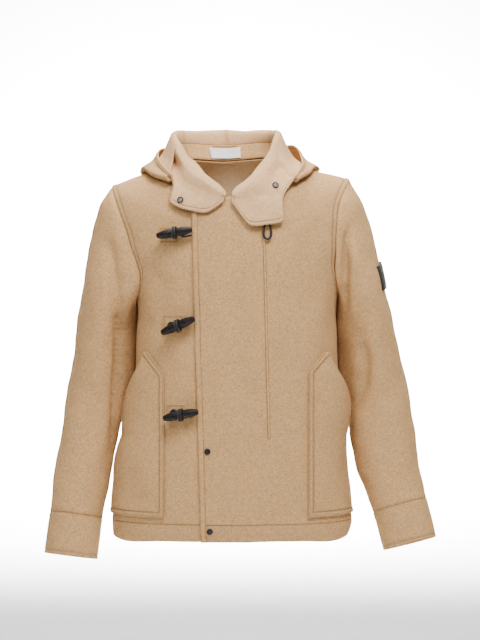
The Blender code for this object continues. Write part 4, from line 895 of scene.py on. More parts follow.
# ---- Collar flaps, hood and neck band -------------------------------------------------------
# The hood is cut in one with a collar flap at each front edge. Thrown back, it rolls over, falls
# to a trough on the shoulders and turns up again to its free rim. The wool's brushed back shows
# on the flaps and inside the hood, and a band covers the neck seam.
ROLL_X, ROLL_Y = -0.0105, -0.0135
ROLL_HALF, ROLL_FRONT, ROLL_BACK = 0.0943, 0.0950, 0.1035
BAND, BAND_START = 0.035, 60
HOOD_SEAM = 117             # degrees round the neck where the hood's side meets its middle
HOOD_CLEAR = 0.0045
TROUGH = 0.012
FLAP = {
    -1: np.array([
        # turn, roll_height, edge_x, edge_height, lift
        (3, -0.0555, -0.0131, -0.0760, 0.0140), (9, -0.0430, -0.0376, -0.0932, 0.0125),
        (16, -0.0330, -0.0512, -0.0959, 0.0115), (24, -0.0220, -0.0695, -0.0930, 0.0110),
        (32, -0.0130, -0.0934, -0.0863, 0.0105), (38, -0.0040, -0.1105, -0.0748, 0.0100),
        (46, 0.0110, -0.1065, -0.0578, 0.0095), (56, 0.0330, -0.1045, -0.0385, 0.0095),
    ]),
    1: np.array([
        (3, -0.0545, 0.0006, -0.0770, 0.0140), (9, -0.0440, 0.0243, -0.1090, 0.0125),
        (16, -0.0360, 0.0380, -0.1190, 0.0115), (24, -0.0260, 0.0635, -0.1171, 0.0110),
        (32, -0.0175, 0.0915, -0.1113, 0.0105), (38, -0.0100, 0.0940, -0.0938, 0.0100),
        (46, 0.0040, 0.0935, -0.0713, 0.0095), (56, 0.0210, 0.1020, -0.0503, 0.0095),
    ]),
}
HOOD = {
    -1: np.array([
        # turn, roll_height, low_x, low_y, low_z, rim_x, rim_y, rim_z, puff, sag
        (66, 0.0460, -0.1150, -0.091, -0.0310, -0.1095, -0.097, -0.0200, 0.002, 0.004),
        (78, 0.0600, -0.1385, -0.071, -0.0240, -0.1300, -0.066, 0.0040, 0.003, 0.008),
        (90, 0.0670, -0.1570, -0.020, -0.0085, -0.1370, -0.025, 0.0230, 0.001, 0.009),
        (97, 0.0700, -0.1620, 0.036, -0.0110, -0.1360, 0.022, 0.0360, 0.006, 0.008),
        (104, 0.0730, -0.1570, 0.094, -0.0500, -0.1250, 0.066, 0.0450, 0.018, 0.006),
        (111, 0.0755, -0.1350, 0.150, -0.1250, -0.1060, 0.102, 0.0500, 0.030, 0.000),
        (117, 0.0770, -0.0880, 0.168, -0.1820, -0.0820, 0.126, 0.0510, 0.040, 0.000),
        (130, 0.0795, -0.0600, 0.173, -0.1970, -0.0590, 0.138, 0.0500, 0.045, 0.000),
        (150, 0.0830, -0.0300, 0.176, -0.2020, -0.0290, 0.146, 0.0490, 0.048, 0.000),
        (180, 0.0850, 0.0000, 0.177, -0.2030, 0.0000, 0.149, 0.0480, 0.050, 0.000),
    ]),
    1: np.array([
        (66, 0.0465, 0.1200, -0.091, -0.0320, 0.1150, -0.097, -0.0250, 0.002, 0.006),
        (78, 0.0630, 0.1350, -0.073, -0.0230, 0.1300, -0.066, -0.0010, 0.003, 0.014),
        (90, 0.0700, 0.1500, -0.026, -0.0080, 0.1300, -0.020, 0.0180, 0.001, 0.016),
        (97, 0.0720, 0.1550, 0.032, -0.0060, 0.1270, 0.022, 0.0360, 0.004, 0.014),
        (104, 0.0745, 0.1530, 0.094, -0.0480, 0.1160, 0.066, 0.0500, 0.018, 0.008),
        (111, 0.0760, 0.1340, 0.150, -0.1250, 0.1000, 0.102, 0.0520, 0.030, 0.000),
        (117, 0.0770, 0.0880, 0.168, -0.1820, 0.0800, 0.126, 0.0510, 0.040, 0.000),
        (130, 0.0795, 0.0600, 0.173, -0.1970, 0.0590, 0.138, 0.0500, 0.045, 0.000),
        (150, 0.0830, 0.0300, 0.176, -0.2020, 0.0290, 0.146, 0.0490, 0.048, 0.000),
        (180, 0.0850, 0.0000, 0.177, -0.2030, 0.0000, 0.149, 0.0480, 0.050, 0.000),
    ]),
}
SECTION = np.array([0, 0.5, 1, 1.6, 2, 2.5, 3, 3.5, 4, 5, 5.5, 6, 6.5, 7, 7.5, 8, 8.5, 9, 9.5, 10.2, 11])
BAND_COLUMN, BAND_CELLS = 2, 8      # the sample on the neck band's upper seam, and cells below it
OVER_COLUMN = 34            # the column of the fine mesh past which the cloth has rolled over
BEHIND = 100                # degrees round the neck past which the hood is behind the shoulders
ROLL_POINT = 4              # the guide point past which the cloth lies out over the body
TURNS = np.array([3, 9, 16, 24, 32, 38, 46, 56, 62, 70, 79, 90, 97, 101, 104, 107.5, 111, 114, 117, 128,
                  142, 160, 180], float)
RIM_CLOSE = np.array([10.5, 9.2, 8.2, 7.6, 7.0, 6.4, 5.6, 4.2, 2.6, 1.2, 0]) / 1000
RIM_STITCH = 0.007          # from the free edge to its row of stitches
FLAP_FOLDS = (
    # x0, z0, x1, z1, x2, z2, breadth, depth, side
    (0.030, -0.050, 0.060, -0.062, 0.092, -0.056, 0.006, 0.0012, -1),
    (-0.100, -0.020, -0.085, -0.045, -0.060, -0.060, 0.007, 0.0010, -1),
    (0.085, 0.020, 0.078, -0.010, 0.092, -0.036, 0.007, 0.0012, -1),
    (-0.040, 0.000, -0.046, -0.090, -0.030, -0.170, 0.016, 0.0030, 1),
    (0.050, 0.010, 0.044, -0.080, 0.056, -0.160, 0.016, 0.0026, 1),
    (0.000, 0.020, 0.006, -0.090, -0.004, -0.180, 0.014, -0.0022, 1),
)


def neck_base(side, turn):
    """Where band and collar stand on the body, and the level way out there."""
    turn = min(max(turn, NECK_START), 180)
    face, out = lapped(neck(side, turn), side if turn < 90 else 0)
    level = out * np.array([1, 1, 0])
    return face - level * WOOL, unit(level)


def off_body(points):
    """Collar and hood points, moved out over the body where they would lie too near it."""
    angle, rise = np.meshgrid(np.radians(np.arange(1.5, 360, 3)), np.linspace(-1.2, 1, 60))
    near_body, out = body(angle, rise).reshape(-1, 3), body_out(angle, rise).reshape(-1, 3)
    rows = []
    for row in points:
        near = np.linalg.norm(row[:, None] - near_body[None], axis=-1).argmin(axis=1)
        height = np.sum((row - near_body[near]) * out[near], axis=-1)
        rows.append(row + out[near] * np.clip(WOOL + HOOD_CLEAR - height, 0, None)[:, None])
    return np.stack(rows)


def section(side, turn):
    """Twelve guide points across the collar and hood, turn degrees round, and its base's way out."""
    rad = math.radians(turn)
    outward = np.array([side * math.sin(rad), -math.cos(rad), 0])
    up = np.array([0, 0, 1.0])
    base, away = neck_base(side, turn)
    flap, hood = FLAP[side], HOOD[side]
    heights = np.concatenate([flap[:, :2], hood[:, :2]])
    depth = ROLL_FRONT if math.cos(rad) > 0 else ROLL_BACK
    middle_x = mix(NECK_X, ROLL_X, ease(turn / BAND_START))
    roll = np.array([middle_x + side * ROLL_HALF * math.sin(rad), ROLL_Y - depth * math.cos(rad),
                     smooth(heights[:, 0], heights[:, 1], turn)])
    before, after = (neck_base(side, turn + step)[0] for step in (-6, 6))
    over_seam, looks = (np.cross(after - before, way) for way in (away, roll - base))
    over_seam = unit(over_seam) * np.sign(over_seam[2])
    looks = unit(looks) * np.sign(looks @ (over_seam - away))
    base = base + over_seam * (2 * SEAM + WOOL * max(looks @ over_seam, 0))
    height = roll[2] - base[2]
    if turn <= flap[-1, 0]:
        edge_x, edge_z, lift = (smooth(flap[:, 0], flap[:, k], turn) for k in (2, 3, 4))
        place = spot(edge_x, edge_z)
        rim = body(*place) + body_out(*place) * lift
        fall = roll[2] - rim[2]
        turned = roll + outward * 0.0160 - up * min(0.012, 0.5 * fall)
        lows = []
        for part in (0.3, 0.5, 0.66, 0.8, 0.91):
            here = spot(mix(turned[0], rim[0], part), mix(turned[2], rim[2], part))
            on_body = body(*here) + body_out(*here) * lift
            lows.append(mix(mix(turned, rim, part), on_body, ease(part / 0.5)))
    else:
        low_x, low_y, low_z, rim_x, rim_y, rim_z, puff, sag = smooth(hood[:, 0], hood[:, 2:], turn)
        low, rim = np.array([low_x, low_y, low_z]), np.array([rim_x, rim_y, rim_z])
        fall = 0.05
        turned = roll + outward * 0.0135 - up * 0.012
        trough = outward * min(TROUGH, 0.25 * np.linalg.norm(rim - low))
        lows = [mix(turned, low, 0.36) - up * sag, mix(turned, low, 0.73) - up * 0.6 * sag, low - trough,
                low + trough + up * 0.006,
                mix(low, rim, 0.5) + unit(mix(outward, np.array([0, 1.0, 0]), 0.5)) * puff]
    band = min(BAND / max(height, 0.01), 0.6)
    inner = roll - outward * 0.002 - up * min(0.007, 0.4 * height)
    over = roll + outward * 0.010 - up * min(0.004, 0.2 * fall)
    return np.array([base, mix(base, inner, band) + outward * 0.002, inner, roll + outward * 0.004, over,
                     turned, *lows, rim]), looks


def hood_grid(side, samples):
    """The collar and hood on one side of the neck: a row for each of TURNS, and its base's way out."""
    rows, base_out = [], []
    for turn in TURNS:
        guide, looks = section(side, turn)
        base_out.append(looks)
        length = along(guide)
        rows.append(smooth(length, guide, np.interp(samples, np.arange(len(guide)), length)))
    grid = np.stack(rows)
    over = samples > ROLL_POINT
    if over.any():
        grid[:, over] = off_body(grid[:, over])
    return grid, np.stack(base_out)


def grid_normals(face):
    """Unit normals of a grid of points."""
    return unit(np.cross(np.gradient(face, axis=0), np.gradient(face, axis=1)))


coarse = [hood_grid(side, SECTION) for side in (-1, 1)]
whole = np.concatenate([coarse[0][0], coarse[1][0][-2::-1]])
base_out = np.concatenate([coarse[0][1], coarse[1][1][-2::-1]])
all_turns = np.concatenate([TURNS, 360 - TURNS[-2::-1]])
half = np.concatenate([np.array([3, 3.25, 3.6, 4.0, 4.4, 4.8, 5.3, 6, 7]), np.arange(8.5, 60, 1.7), [62],
                       np.arange(63.6, 116, 1.6), [117], np.arange(119, 179, 2.2), [180]])
fine_turns = np.concatenate([half, 360 - half[-2::-1]])
index = np.interp(fine_turns, all_turns, np.arange(len(all_turns)))
ribs = smooth(np.arange(len(all_turns)), whole, index)
rib_out = unit(smooth(np.arange(len(all_turns)), base_out, index))
rows, from_rim = [], []
for rib in ribs:
    fine = smooth(np.arange(len(SECTION)), rib, np.linspace(0, len(SECTION) - 1, 241))
    length = along(fine)
    at_band = length[12 * BAND_COLUMN]
    spread = np.concatenate([np.linspace(0, at_band, BAND_CELLS + 1)[:-1],
                             np.linspace(at_band, length[-1] - RIM_CLOSE[0], 66)[:-1],
                             length[-1] - RIM_CLOSE])
    rows.append(np.stack([np.interp(spread, length, fine[:, k]) for k in range(3)], -1))
    from_rim.append(length[-1] - spread)
face, from_rim = np.stack(rows), np.stack(from_rim)
out = grid_normals(face)
if out[len(half) - 1, 4, 1] > 0:
    out = -out
out[:, 0] = rib_out
near = np.minimum(fine_turns, 360 - fine_turns)[:, None]
from_front = np.minimum(along(face), along(face[::-1])[::-1])
from_front[20:-20] = 1.0
on_flap = near < BAND_START
from_edge = np.minimum(from_rim, np.where(on_flap, from_front, 1.0))
column = np.arange(face.shape[1])[None]
over = column > OVER_COLUMN
groove = -0.0009 * bell(from_edge, 0.0010, RIM_STITCH) * over
proud = 0.0007 * (1 - ease((from_edge - 0.0062) / 0.0012)) * ease(from_edge / 0.0015) * over
seam_away = np.minimum(np.abs(near - HOOD_SEAM), np.abs(near - 180))
strip = 0.0011 * np.exp(-(seam_away / 1.6) ** 4) * (near > BEHIND) * (column > 10)
soft = folds(face, out, FLAP_FOLDS) * ease(from_rim / 0.012)
moved = groove + proud * on_flap + strip + soft + 0.7 * slack(face) * ease(from_rim / 0.02)
moved[:, :3] = 0
face = face + out * moved[..., None]
# Painted shade along the rim's row of stitches, beside the hood's seams and at the foot of the neck band.
seam_shade = (bell(from_edge, STITCH_SHADE, RIM_STITCH) * over
         + 0.9 * bell(seam_away, 0.8, 2.2) * (near > BEHIND) + 0.6 * bell(column, 1.5))
middle = (fine_turns[1:] + fine_turns[:-1]) / 2
turned_to = np.minimum(middle, 360 - middle)[:, None]
band_keep = (turned_to > BAND_START + 1) & (column[:, :-1] < BAND_CELLS)
right_half = (middle < 180)[:, None]
cloth(shell("neck_band_wool", face, out, WOOL, (FELT, FELT), keep=band_keep, seam_shade=seam_shade), "wool",
      ["neck_band"])
for name, on_side in (("right", right_half), ("left", ~right_half)):
    for part, there, cut in (("side", turned_to < HOOD_SEAM, (0.30, 0.34, 0.072)),
                             ("middle", turned_to > HOOD_SEAM, (0.12, 0.56, 0.052))):
        cloth(shell(f"hood_{part}_{name}_wool", face, out, WOOL, (FELT_BACK, FELT),
                    keep=there & ~band_keep & on_side, seam_shade=seam_shade), "wool", [f"hood_{part}_{name}"])
rim_column = face.shape[1] - len(RIM_CLOSE) + int(np.abs(RIM_CLOSE - RIM_STITCH).argmin())
hood_rows = [(face[8:-8, rim_column], out[8:-8, rim_column])]
for way in (1, -1):
    gone = from_front[::way][:20, 40:rim_column]
    line = [[[np.interp(RIM_STITCH, gone[:, j], values[::way][:20, 40 + j, k]) for k in range(3)]
             for j in range(gone.shape[1])] for values in (face, out)]
    hood_rows.append((np.array(line[0]), np.array(line[1])))
sewn("hood_stitches", hood_rows)
flap_face, flap_out = face, out

# ---- Neck label and hanger loop -------------------------------------------------------------
# A blank woven label of satin polyester tape, sewn flat to the neck band, and above it a narrow
# loop of the same wool to hang the jacket up by, held at both ends.
LABEL_X, LABEL_PART = (-0.0400, 0.0190), (0.10, 0.80)
HANGER_X, HANGER_PART = (-0.0330, 0.0130), (0.86, 0.97)
LABEL_THICK, LABEL_PROUD = 0.0008, 0.0014
HANGER_THICK, HANGER_PROUD, HANGER_SAG = 0.0012, 0.0016, 0.0008


def on_band(x_limits, parts, columns, rows):
    """Points on the neck band's inner face between two x and two parts of its height."""
    corners = {side: hood_grid(side, np.linspace(*parts, rows))[0] for side in (-1, 1)}
    lines = []
    for x in np.linspace(*x_limits, columns):
        side = 1 if x > NECK_X else -1
        turn = 180 - math.degrees(math.asin(min(1, abs(x - NECK_X) / NECK_HALF)))
        after = int(np.searchsorted(TURNS, turn))
        part = (turn - TURNS[after - 1]) / (TURNS[after] - TURNS[after - 1])
        lines.append(mix(corners[side][after - 1], corners[side][after], part))
    face = np.stack(lines)
    out = grid_normals(face)
    return face, (out if out[0, 0, 1] < 0 else -out)


def woven_tape(name, dark, light):
    """Satin-woven polyester tape, off-white: fine level ribs with a slight sheen."""
    made, tree, shader = finish_named(name, Roughness=0.55, Specular_IOR_Level=0.4, Sheen_Weight=0.1)
    place = add(tree, "TexCoord").outputs["Object"]
    ribs = add(tree, "TexWave", {"Vector": place, "Scale": 1 / 0.0012, "Distortion": 0.6, "Detail": 1.0},
               wave_type="BANDS", bands_direction="Z")
    shade = add(tree, "Mix", {0: ribs.outputs["Fac"], 6: linear(dark), 7: linear(light)},
                data_type="RGBA")
    tree.links.new(shade.outputs[2], shader.inputs["Base Color"])
    bump = add(tree, "Bump", {"Height": ribs.outputs["Fac"], "Strength": 0.3, "Distance": 0.0002})
    tree.links.new(bump.outputs["Normal"], shader.inputs["Normal"])
    return made


TAPE = woven_tape("blank woven label", "#cdc6bd", "#e4dfd8")
face, out = on_band(LABEL_X, LABEL_PART, 40, 18)
face = face + out * (SEAM + LABEL_PROUD)
cloth(shell("neck_label_tape", face, out, LABEL_THICK, (TAPE, TAPE), rounding=0.0004), "label_tape",
      ["neck_label"])
face, out = on_band(HANGER_X, HANGER_PART, 30, 8)
sag = HANGER_SAG * np.sin(np.linspace(0, math.pi, 30))[:, None, None]
face = face + out * (SEAM + HANGER_PROUD + sag)
cloth(shell("hanger_loop_wool", face, out, HANGER_THICK, (FELT, FELT), rounding=0.0005), "wool",
      ["hanger_loop"])

# ---- Pockets --------------------------------------------------------------------------------
# Large patch pockets of the same wool, with a slanted corner and a hand opening at the side
# that stands away from the body. A double row of stitches runs 9 mm inside the sewn edges.
POCKETS = (
    # side, name, inner_x, corner_x, corner_z, knee_z, bulge
    (-1, "right", -0.1210, -0.1520, -0.3490, -0.3900, 0.010),
    (1, "left", 0.1400, 0.1700, -0.3480, -0.3830, 0.013),
)
POCKET_MOUTH_END, POCKET_END = -0.505, -0.6510
POCKET_WOOL, POCKET_CLEAR = 0.0028, 0.0017
POCKET_STITCH, POCKET_EDGE_STITCH = 0.009, 0.0022   # from the pocket's edge to its two rows
POCKET_CLOSE = np.array([0, 1.0, 2.2, 3.6, 5.4, 7.2, 8.2, 9.0, 9.8, 11.2]) / 1000
MOUTH_CLOSE = np.array([0.0030, 0.0014, 0])
SHORT_ROW = 0.03                # rows shorter than this have their closer cells drawn together
for side, name, inner, corner_x, corner_z, knee_z, bulge in POCKETS:
    heights = np.concatenate([POCKET_END + POCKET_CLOSE,
                              np.linspace(POCKET_END + 0.0135, corner_z - 0.006, 96),
                              corner_z - np.array([0.0042, 0.0026, 0.0012, 0])])
    to_corner = np.clip((heights - knee_z) / (corner_z - knee_z), 0, 1)
    in_mouth = (heights - POCKET_MOUTH_END) / (corner_z - POCKET_MOUTH_END)
    seam_angle = math.radians(88.5)
    corner_angle = abs(spot(corner_x + side * 0.008, corner_z)[0])
    last = seam_angle + (corner_angle - seam_angle) * ease(in_mouth) ** 1.6
    first, rise = spot(mix(inner, corner_x, to_corner), heights)
    slant = math.hypot(corner_x - inner, corner_z - knee_z)
    lean = np.where(to_corner > 0, slant / (corner_z - knee_z), 1.0)
    share = np.linspace(0, 1, 60)
    angle = first[:, None] + (side * last - first)[:, None] * share
    ruled = body(angle, np.repeat(rise[:, None], 60, axis=1))
    length = along(ruled, 1)
    part = []
    for row, whole_row in enumerate(length[:, -1]):
        close = POCKET_CLOSE * min(lean[row], 0.6 * whole_row / POCKET_CLOSE[-1])
        short = min(1, whole_row / SHORT_ROW)
        spread = np.concatenate([close, np.linspace(close[-1], whole_row - 0.0045 * short, 34)[1:],
                                 whole_row - MOUTH_CLOSE * short])
        part.append(np.interp(spread, length[row], share))
    part = np.stack(part)
    angle = first[:, None] + (side * last - first)[:, None] * part
    face, out = (of(angle, np.repeat(rise[:, None], part.shape[1], axis=1)) for of in (body, body_out))
    stand = bulge * (np.sin(np.pi * np.clip(in_mouth, 0, 1)) ** 0.8)[:, None] * ease(part * 1.1) ** 1.5
    corners = [(inner, POCKET_END), (inner, knee_z), (corner_x, corner_z)]
    seen = face[..., [0, 2]]
    from_edge = heights[:, None] - POCKET_END + 0 * part
    for (x0, z0), (x1, z1) in zip(corners, corners[1:]):
        run = np.array((x1 - x0, z1 - z0))
        at = np.clip(((seen - (x0, z0)) @ run) / (run @ run), 0, 1)
        nearest = np.array((x0, z0)) + at[..., None] * run
        from_edge = np.minimum(from_edge, np.linalg.norm(seen - nearest, axis=-1))
    shape = (0.0008 * (1 - ease((from_edge - 0.0078) / 0.0012))
             - 0.0012 * bell(from_edge, 0.0010, POCKET_STITCH)
             - 0.0007 * bell(from_edge, 0.0010, POCKET_EDGE_STITCH))
    moved = POCKET_CLEAR + POCKET_WOOL + stand + shape + folds(face, out, BODY_FOLDS) + slack(face)
    face = face + out * moved[..., None]
    # Painted shade along both rows of stitches.
    seam_shade = bell(from_edge, STITCH_SHADE, POCKET_STITCH) + 0.6 * bell(from_edge, 0.0014, POCKET_EDGE_STITCH)
    cloth(shell(f"pocket_{name}_wool", face, out, POCKET_WOOL, (FELT, FELT_BACK),
                seam_shade=np.clip(seam_shade, 0, 1)), "wool", ["pocket_" + name])
    sewn("pocket_stitches_" + name, [(face[7:-2, 7], out[7:-2, 7]), (face[7, 7:-2], out[7, 7:-2]),
                                     (face[2:-2, 2], out[2:-2, 2]), (face[2, 2:-2], out[2, 2:-2])])

# A short slanted row of stitches by the left pocket's corner takes the strain of the hand.
x, z = np.linspace(0.1725, 0.1972, 40), np.linspace(-0.3725, -0.4000, 40)
away = np.hypot(face[..., 0, None] - x, face[..., 2, None] - z).reshape(-1, 40).argmin(axis=0)
sewn("pocket_corner_stitches", [(face.reshape(-1, 3)[away], out.reshape(-1, 3)[away])])

# ---- Toggle patches and zip welt ------------------------------------------------------------
# Square patches of wool under the toggles, stitched round their edge, and the lips of the
# covered front zip, which stand up on either side of a narrow slot.
TOGGLE_PATCHES = (
    # left_x, right_x, bottom_z, top_z
    (-0.1310, -0.0965, -0.1490, -0.1200), (-0.1250, -0.0860, -0.3150, -0.2800),
    (-0.1150, -0.0855, -0.4720, -0.4430),
)
PATCH_THICK, PATCH_STITCH = 0.0018, 0.003    # its wool, and from its edge to its stitches
ZIP_TOP, ZIP_END, ZIP_HALF, ZIP_THICK = (0.0600, -0.1330), (0.0690, -0.5040), 0.0030, 0.0012
for number, (left_x, right_x, low, high) in enumerate(TOGGLE_PATCHES, 1):
    wide, tall = right_x - left_x, high - low
    across, up = np.linspace(-1, 1, 30)[None], np.linspace(-1, 1, 26)[:, None]
    x = (left_x + right_x) / 2 + wide / 2 * across + 0 * up
    z = (low + high) / 2 + tall / 2 * up + 0 * across
    face, out = lapped(np.stack(spot(x, z), -1), -1, 3 * SEAM + PATCH_THICK)
    border = np.minimum(wide / 2 * (1 - np.abs(across)), tall / 2 * (1 - np.abs(up)))
    shape = folds(face, out, BODY_FOLDS) + slack(face) - 0.0006 * bell(border, 0.0012, PATCH_STITCH)
    face = face + out * shape[..., None]
    # Painted shade along the row of stitches.
    seam_shade = 0.9 * bell(border, 0.0014, PATCH_STITCH)
    cloth(shell(f"toggle_patch_{number}_wool", face, out, PATCH_THICK, (FELT, FELT_BACK), seam_shade=seam_shade,
                rounding=0.0008), "wool", [f"toggle_patch_{number}"])
    loop = [(3, j) for j in range(3, 27)] + [(i, 26) for i in range(3, 23)]
    loop += [(22, j) for j in range(26, 2, -1)] + [(i, 3) for i in range(22, 2, -1)]
    sewn(f"toggle_patch_stitches_{number}", [([face[i, j] for i, j in loop], [out[i, j] for i, j in loop])])
heights = np.linspace(ZIP_TOP[1], ZIP_END[1], 150)
centre_x = np.interp(heights, (ZIP_END[1], ZIP_TOP[1]), (ZIP_END[0], ZIP_TOP[0]))
across = np.array([-3.0, -2.6, -2.0, -1.4, -0.9, -0.55, -0.3, 0, 0.3, 0.55, 0.9, 1.4, 2.0, 2.6, 3.0]) / 1000
x = centre_x[:, None] + across[None]
face, out = lapped(np.stack(spot(x, heights[:, None] + 0 * across[None]), -1), 1, 3 * SEAM + ZIP_THICK)
lips = 0.0005 * bell(across, 0.0016) - 0.0013 * bell(np.abs(across), 0.0008, ZIP_HALF)
face = face + out * (lips[None] + folds(face, out, BODY_FOLDS) + slack(face))[..., None]
# Painted shade: dark lines along both edges of the zip welt.
seam_shade = 2.6 * bell(np.abs(across), 0.0009, ZIP_HALF)
cloth(shell("zip_welt_wool", face, out, ZIP_THICK, (FELT, FELT_BACK), seam_shade=seam_shade[None] * np.ones((150, 1)),
            rounding=0.0005), "wool", ["zip_welt"])

# ---- Toggles and their cords ----------------------------------------------------------------
# Black horn, cut to a ten-sided taper and polished, with blunt ends. A black braided cord is
# wound twice round the middle of each and held down on its patch.
TOGGLES = (
    # left_x, left_z, right_x, right_z
    (-0.1310, -0.1365, -0.0695, -0.1266), (-0.1200, -0.3125, -0.0637, -0.2859),
    (-0.1180, -0.4690, -0.0580, -0.4550),
)
TOGGLE_RADIUS, TOGGLE_END, TOGGLE_CLEAR, TOGGLE_CORD = 0.0073, 0.0042, 0.0155, 0.0020
TOGGLE_FACETS = 10
BLUNT = ((0.46, 1), (0.478, 0.985), (0.490, 0.93), (0.497, 0.80), (0.5, 0.62))  # place, share of radius
TOGGLE_FULL = 0.0010        # the horn is fuller than a plain taper between its middle and its ends
CORD_LOOPS = {              # how the cord shows beside each toggle: along it, and above its middle
    1: ((-0.0100, -0.0035), (-0.0075, -0.0015)),
    2: ((-0.0110, 0.0000), (-0.0190, 0.0035), (-0.0215, 0.0085), (-0.0165, 0.0120), (-0.0105, 0.0090)),
    3: ((-0.0110, 0.0000), (-0.0180, 0.0030), (-0.0205, 0.0080), (-0.0155, 0.0115), (-0.0100, 0.0085)),
}
TAIL_BELOW = {1: 0.0085, 2: 0.0, 3: 0.0}


def horn(name):
    """Polished black horn: a deep brown-black with faint lengthwise streaks and a soft gloss."""
    made, tree, shader = finish_named(name, Roughness=0.42, Specular_IOR_Level=0.22)
    place = add(tree, "TexCoord").outputs["Object"]
    streaks = add(tree, "TexNoise", {"Vector": place, "Scale": 1 / 0.006, "Detail": 4.0, "Distortion": 0.7})
    shade = add(tree, "ValToRGB", {"Fac": streaks.outputs["Fac"]})
    shade.color_ramp.elements[0].position = 0.35
    shade.color_ramp.elements[0].color = linear("#0f0d0c")
    shade.color_ramp.elements[1].position = 0.7
    shade.color_ramp.elements[1].color = linear("#231e1b")
    tree.links.new(shade.outputs["Color"], shader.inputs["Base Color"])
    wear = add(tree, "MapRange", {"Value": streaks.outputs["Fac"], "To Min": 0.34, "To Max": 0.52})
    tree.links.new(wear.outputs["Result"], shader.inputs["Roughness"])
    return made


HORN = horn("polished black horn")


def turned(name, axis, centre, profile, sides, finishes, facets=0, finish_from=None):
    """A turned piece: profile rows are distance along the axis and radius.

    facets is the number of flats it is cut to, and finish_from the row where a second finish starts.
    """
    axis = unit(np.asarray(axis, float))
    side = unit(np.cross(axis, (0.3, 0.2, 1.0)))
    up = np.cross(axis, side)
    turn = np.linspace(0, 2 * math.pi, sides, endpoint=False)
    flat = np.ones(sides)
    if facets:
        arc = 2 * math.pi / facets
        flat = mix(1.0, math.cos(arc / 2) / np.cos(np.mod(turn, arc) - arc / 2), 0.85)
    ring = np.cos(turn)[:, None] * side + np.sin(turn)[:, None] * up
    points = [centre + axis * place + ring * (radius * flat)[:, None] for place, radius in profile]
    last_ring = (len(profile) - 1) * sides
    faces = [[low + k, low + (k + 1) % sides, low + sides + (k + 1) % sides, low + sides + k]
             for low in range(0, last_ring, sides) for k in range(sides)]
    faces += [list(range(sides))[::-1], [last_ring + k for k in range(sides)]]
    marks = None if finish_from is None else [n // sides >= finish_from for n in range(len(faces))]
    return piece_of(name, np.concatenate(points), faces, finishes, face_marks=marks)


def front_point(x, z, side, lift):
    """A point above the front, and the way out there."""
    face, out = lapped(np.stack(spot(x, z), -1), side)
    return face + out * lift, out


for number, (x0, z0, x1, z1) in enumerate(TOGGLES, 1):
    ends = [front_point(x, z, -1, TOGGLE_CLEAR)[0] for x, z in ((x0, z0), (x1, z1))]
    middle, out = front_point((x0 + x1) / 2, (z0 + z1) / 2, -1, TOGGLE_CLEAR)
    length = np.linalg.norm(ends[1] - ends[0])
    ahead = unit(ends[1] - ends[0])
    out = unit(out - ahead * (out @ ahead))
    ends_at, ends_share = zip(*BLUNT)
    places = np.array([*[-at for at in ends_at[:0:-1]], *np.linspace(-0.46, 0.46, 41), *ends_at[1:]])
    radii = TOGGLE_END + (TOGGLE_RADIUS - TOGGLE_END) * (1 - np.abs(places * 2) ** 2.2)
    radii += TOGGLE_FULL * np.sin(np.pi * np.clip(np.abs(places * 2), 0, 1)) ** 2 + 0.0006
    radii *= np.interp(np.abs(places), ends_at, ends_share)
    radii -= 0.0010 * bell(places * length, 0.0045)
    dressed(turned(f"toggle_{number}_horn", ahead, middle, list(zip(places * length, radii)), 60, [HORN],
                   TOGGLE_FACETS), "horn", f"toggle_{number}")

    above = np.cross(out, ahead)
    reach = TOGGLE_RADIUS + TOGGLE_CORD + 1.5 * SEAM
    coil = []
    for k in range(19):
        turn = math.pi + 2 * math.pi * k / 9
        coil.append(middle + ahead * (k / 9 - 1) * (TOGGLE_CORD * 2 + SEAM)
                    + (out * math.cos(turn) + above * math.sin(turn)) * reach)
    under = TOGGLE_CLEAR - PATCH_THICK - 2 * SEAM - TOGGLE_CORD
    clear_x = lap_x(middle[2]) - middle[0] - TOGGLE_CORD
    below = TAIL_BELOW[number]
    tail_end = [coil[-1] + ahead * 0.006 - out * 0.0009 - above * below * 0.8,
                middle + ahead * (clear_x - 0.004) - out * (under - 0.001) - above * below,
                middle + ahead * (clear_x - 0.0005) - out * (under - 0.001) - above * below]
    lead = [middle + ahead * x - out * (under - 0.0008) + above * z for x, z in CORD_LOOPS[number]]
    points, faces, _ = tube(np.array(lead + coil + tail_end), TOGGLE_CORD, 0.0006, 14)
    dressed(piece_of(f"toggle_cord_{number}", points, faces, [CORD_BLACK]), "cord", f"toggle_cord_{number}")

# ---- Snaps ----------------------------------------------------------------------------------
# Press studs: black lacquered caps on the front edge, and a socket with a grey centre in each
# collar flap.
FRONT_SNAPS = ((-0.0428, -0.5285), (-0.0384, -0.6737))     # x and height of each
SNAP_RADIUS, COLLAR_SNAP_RADIUS = 0.0058, 0.0062
COLLAR_SNAPS = {-1: (-0.0926, -0.0695), 1: (0.0817, -0.0420)}
DOME = (                    # height, share of the snap's radius
    (0, 0.97), (0.0004, 1), (0.0012, 0.99), (0.0016, 0.93), (0.0019, 0.80), (0.0021, 0.60), (0.0022, 0.3),
)
SOCKET = (
    (0, 1), (0.0012, 1), (0.0017, 0.93), (0.0018, 0.82), (0.0013, 0.70), (0.0009, 0.62), (0.0010, 0.55),
    (0.0014, 0.42), (0.0016, 0.2),
)

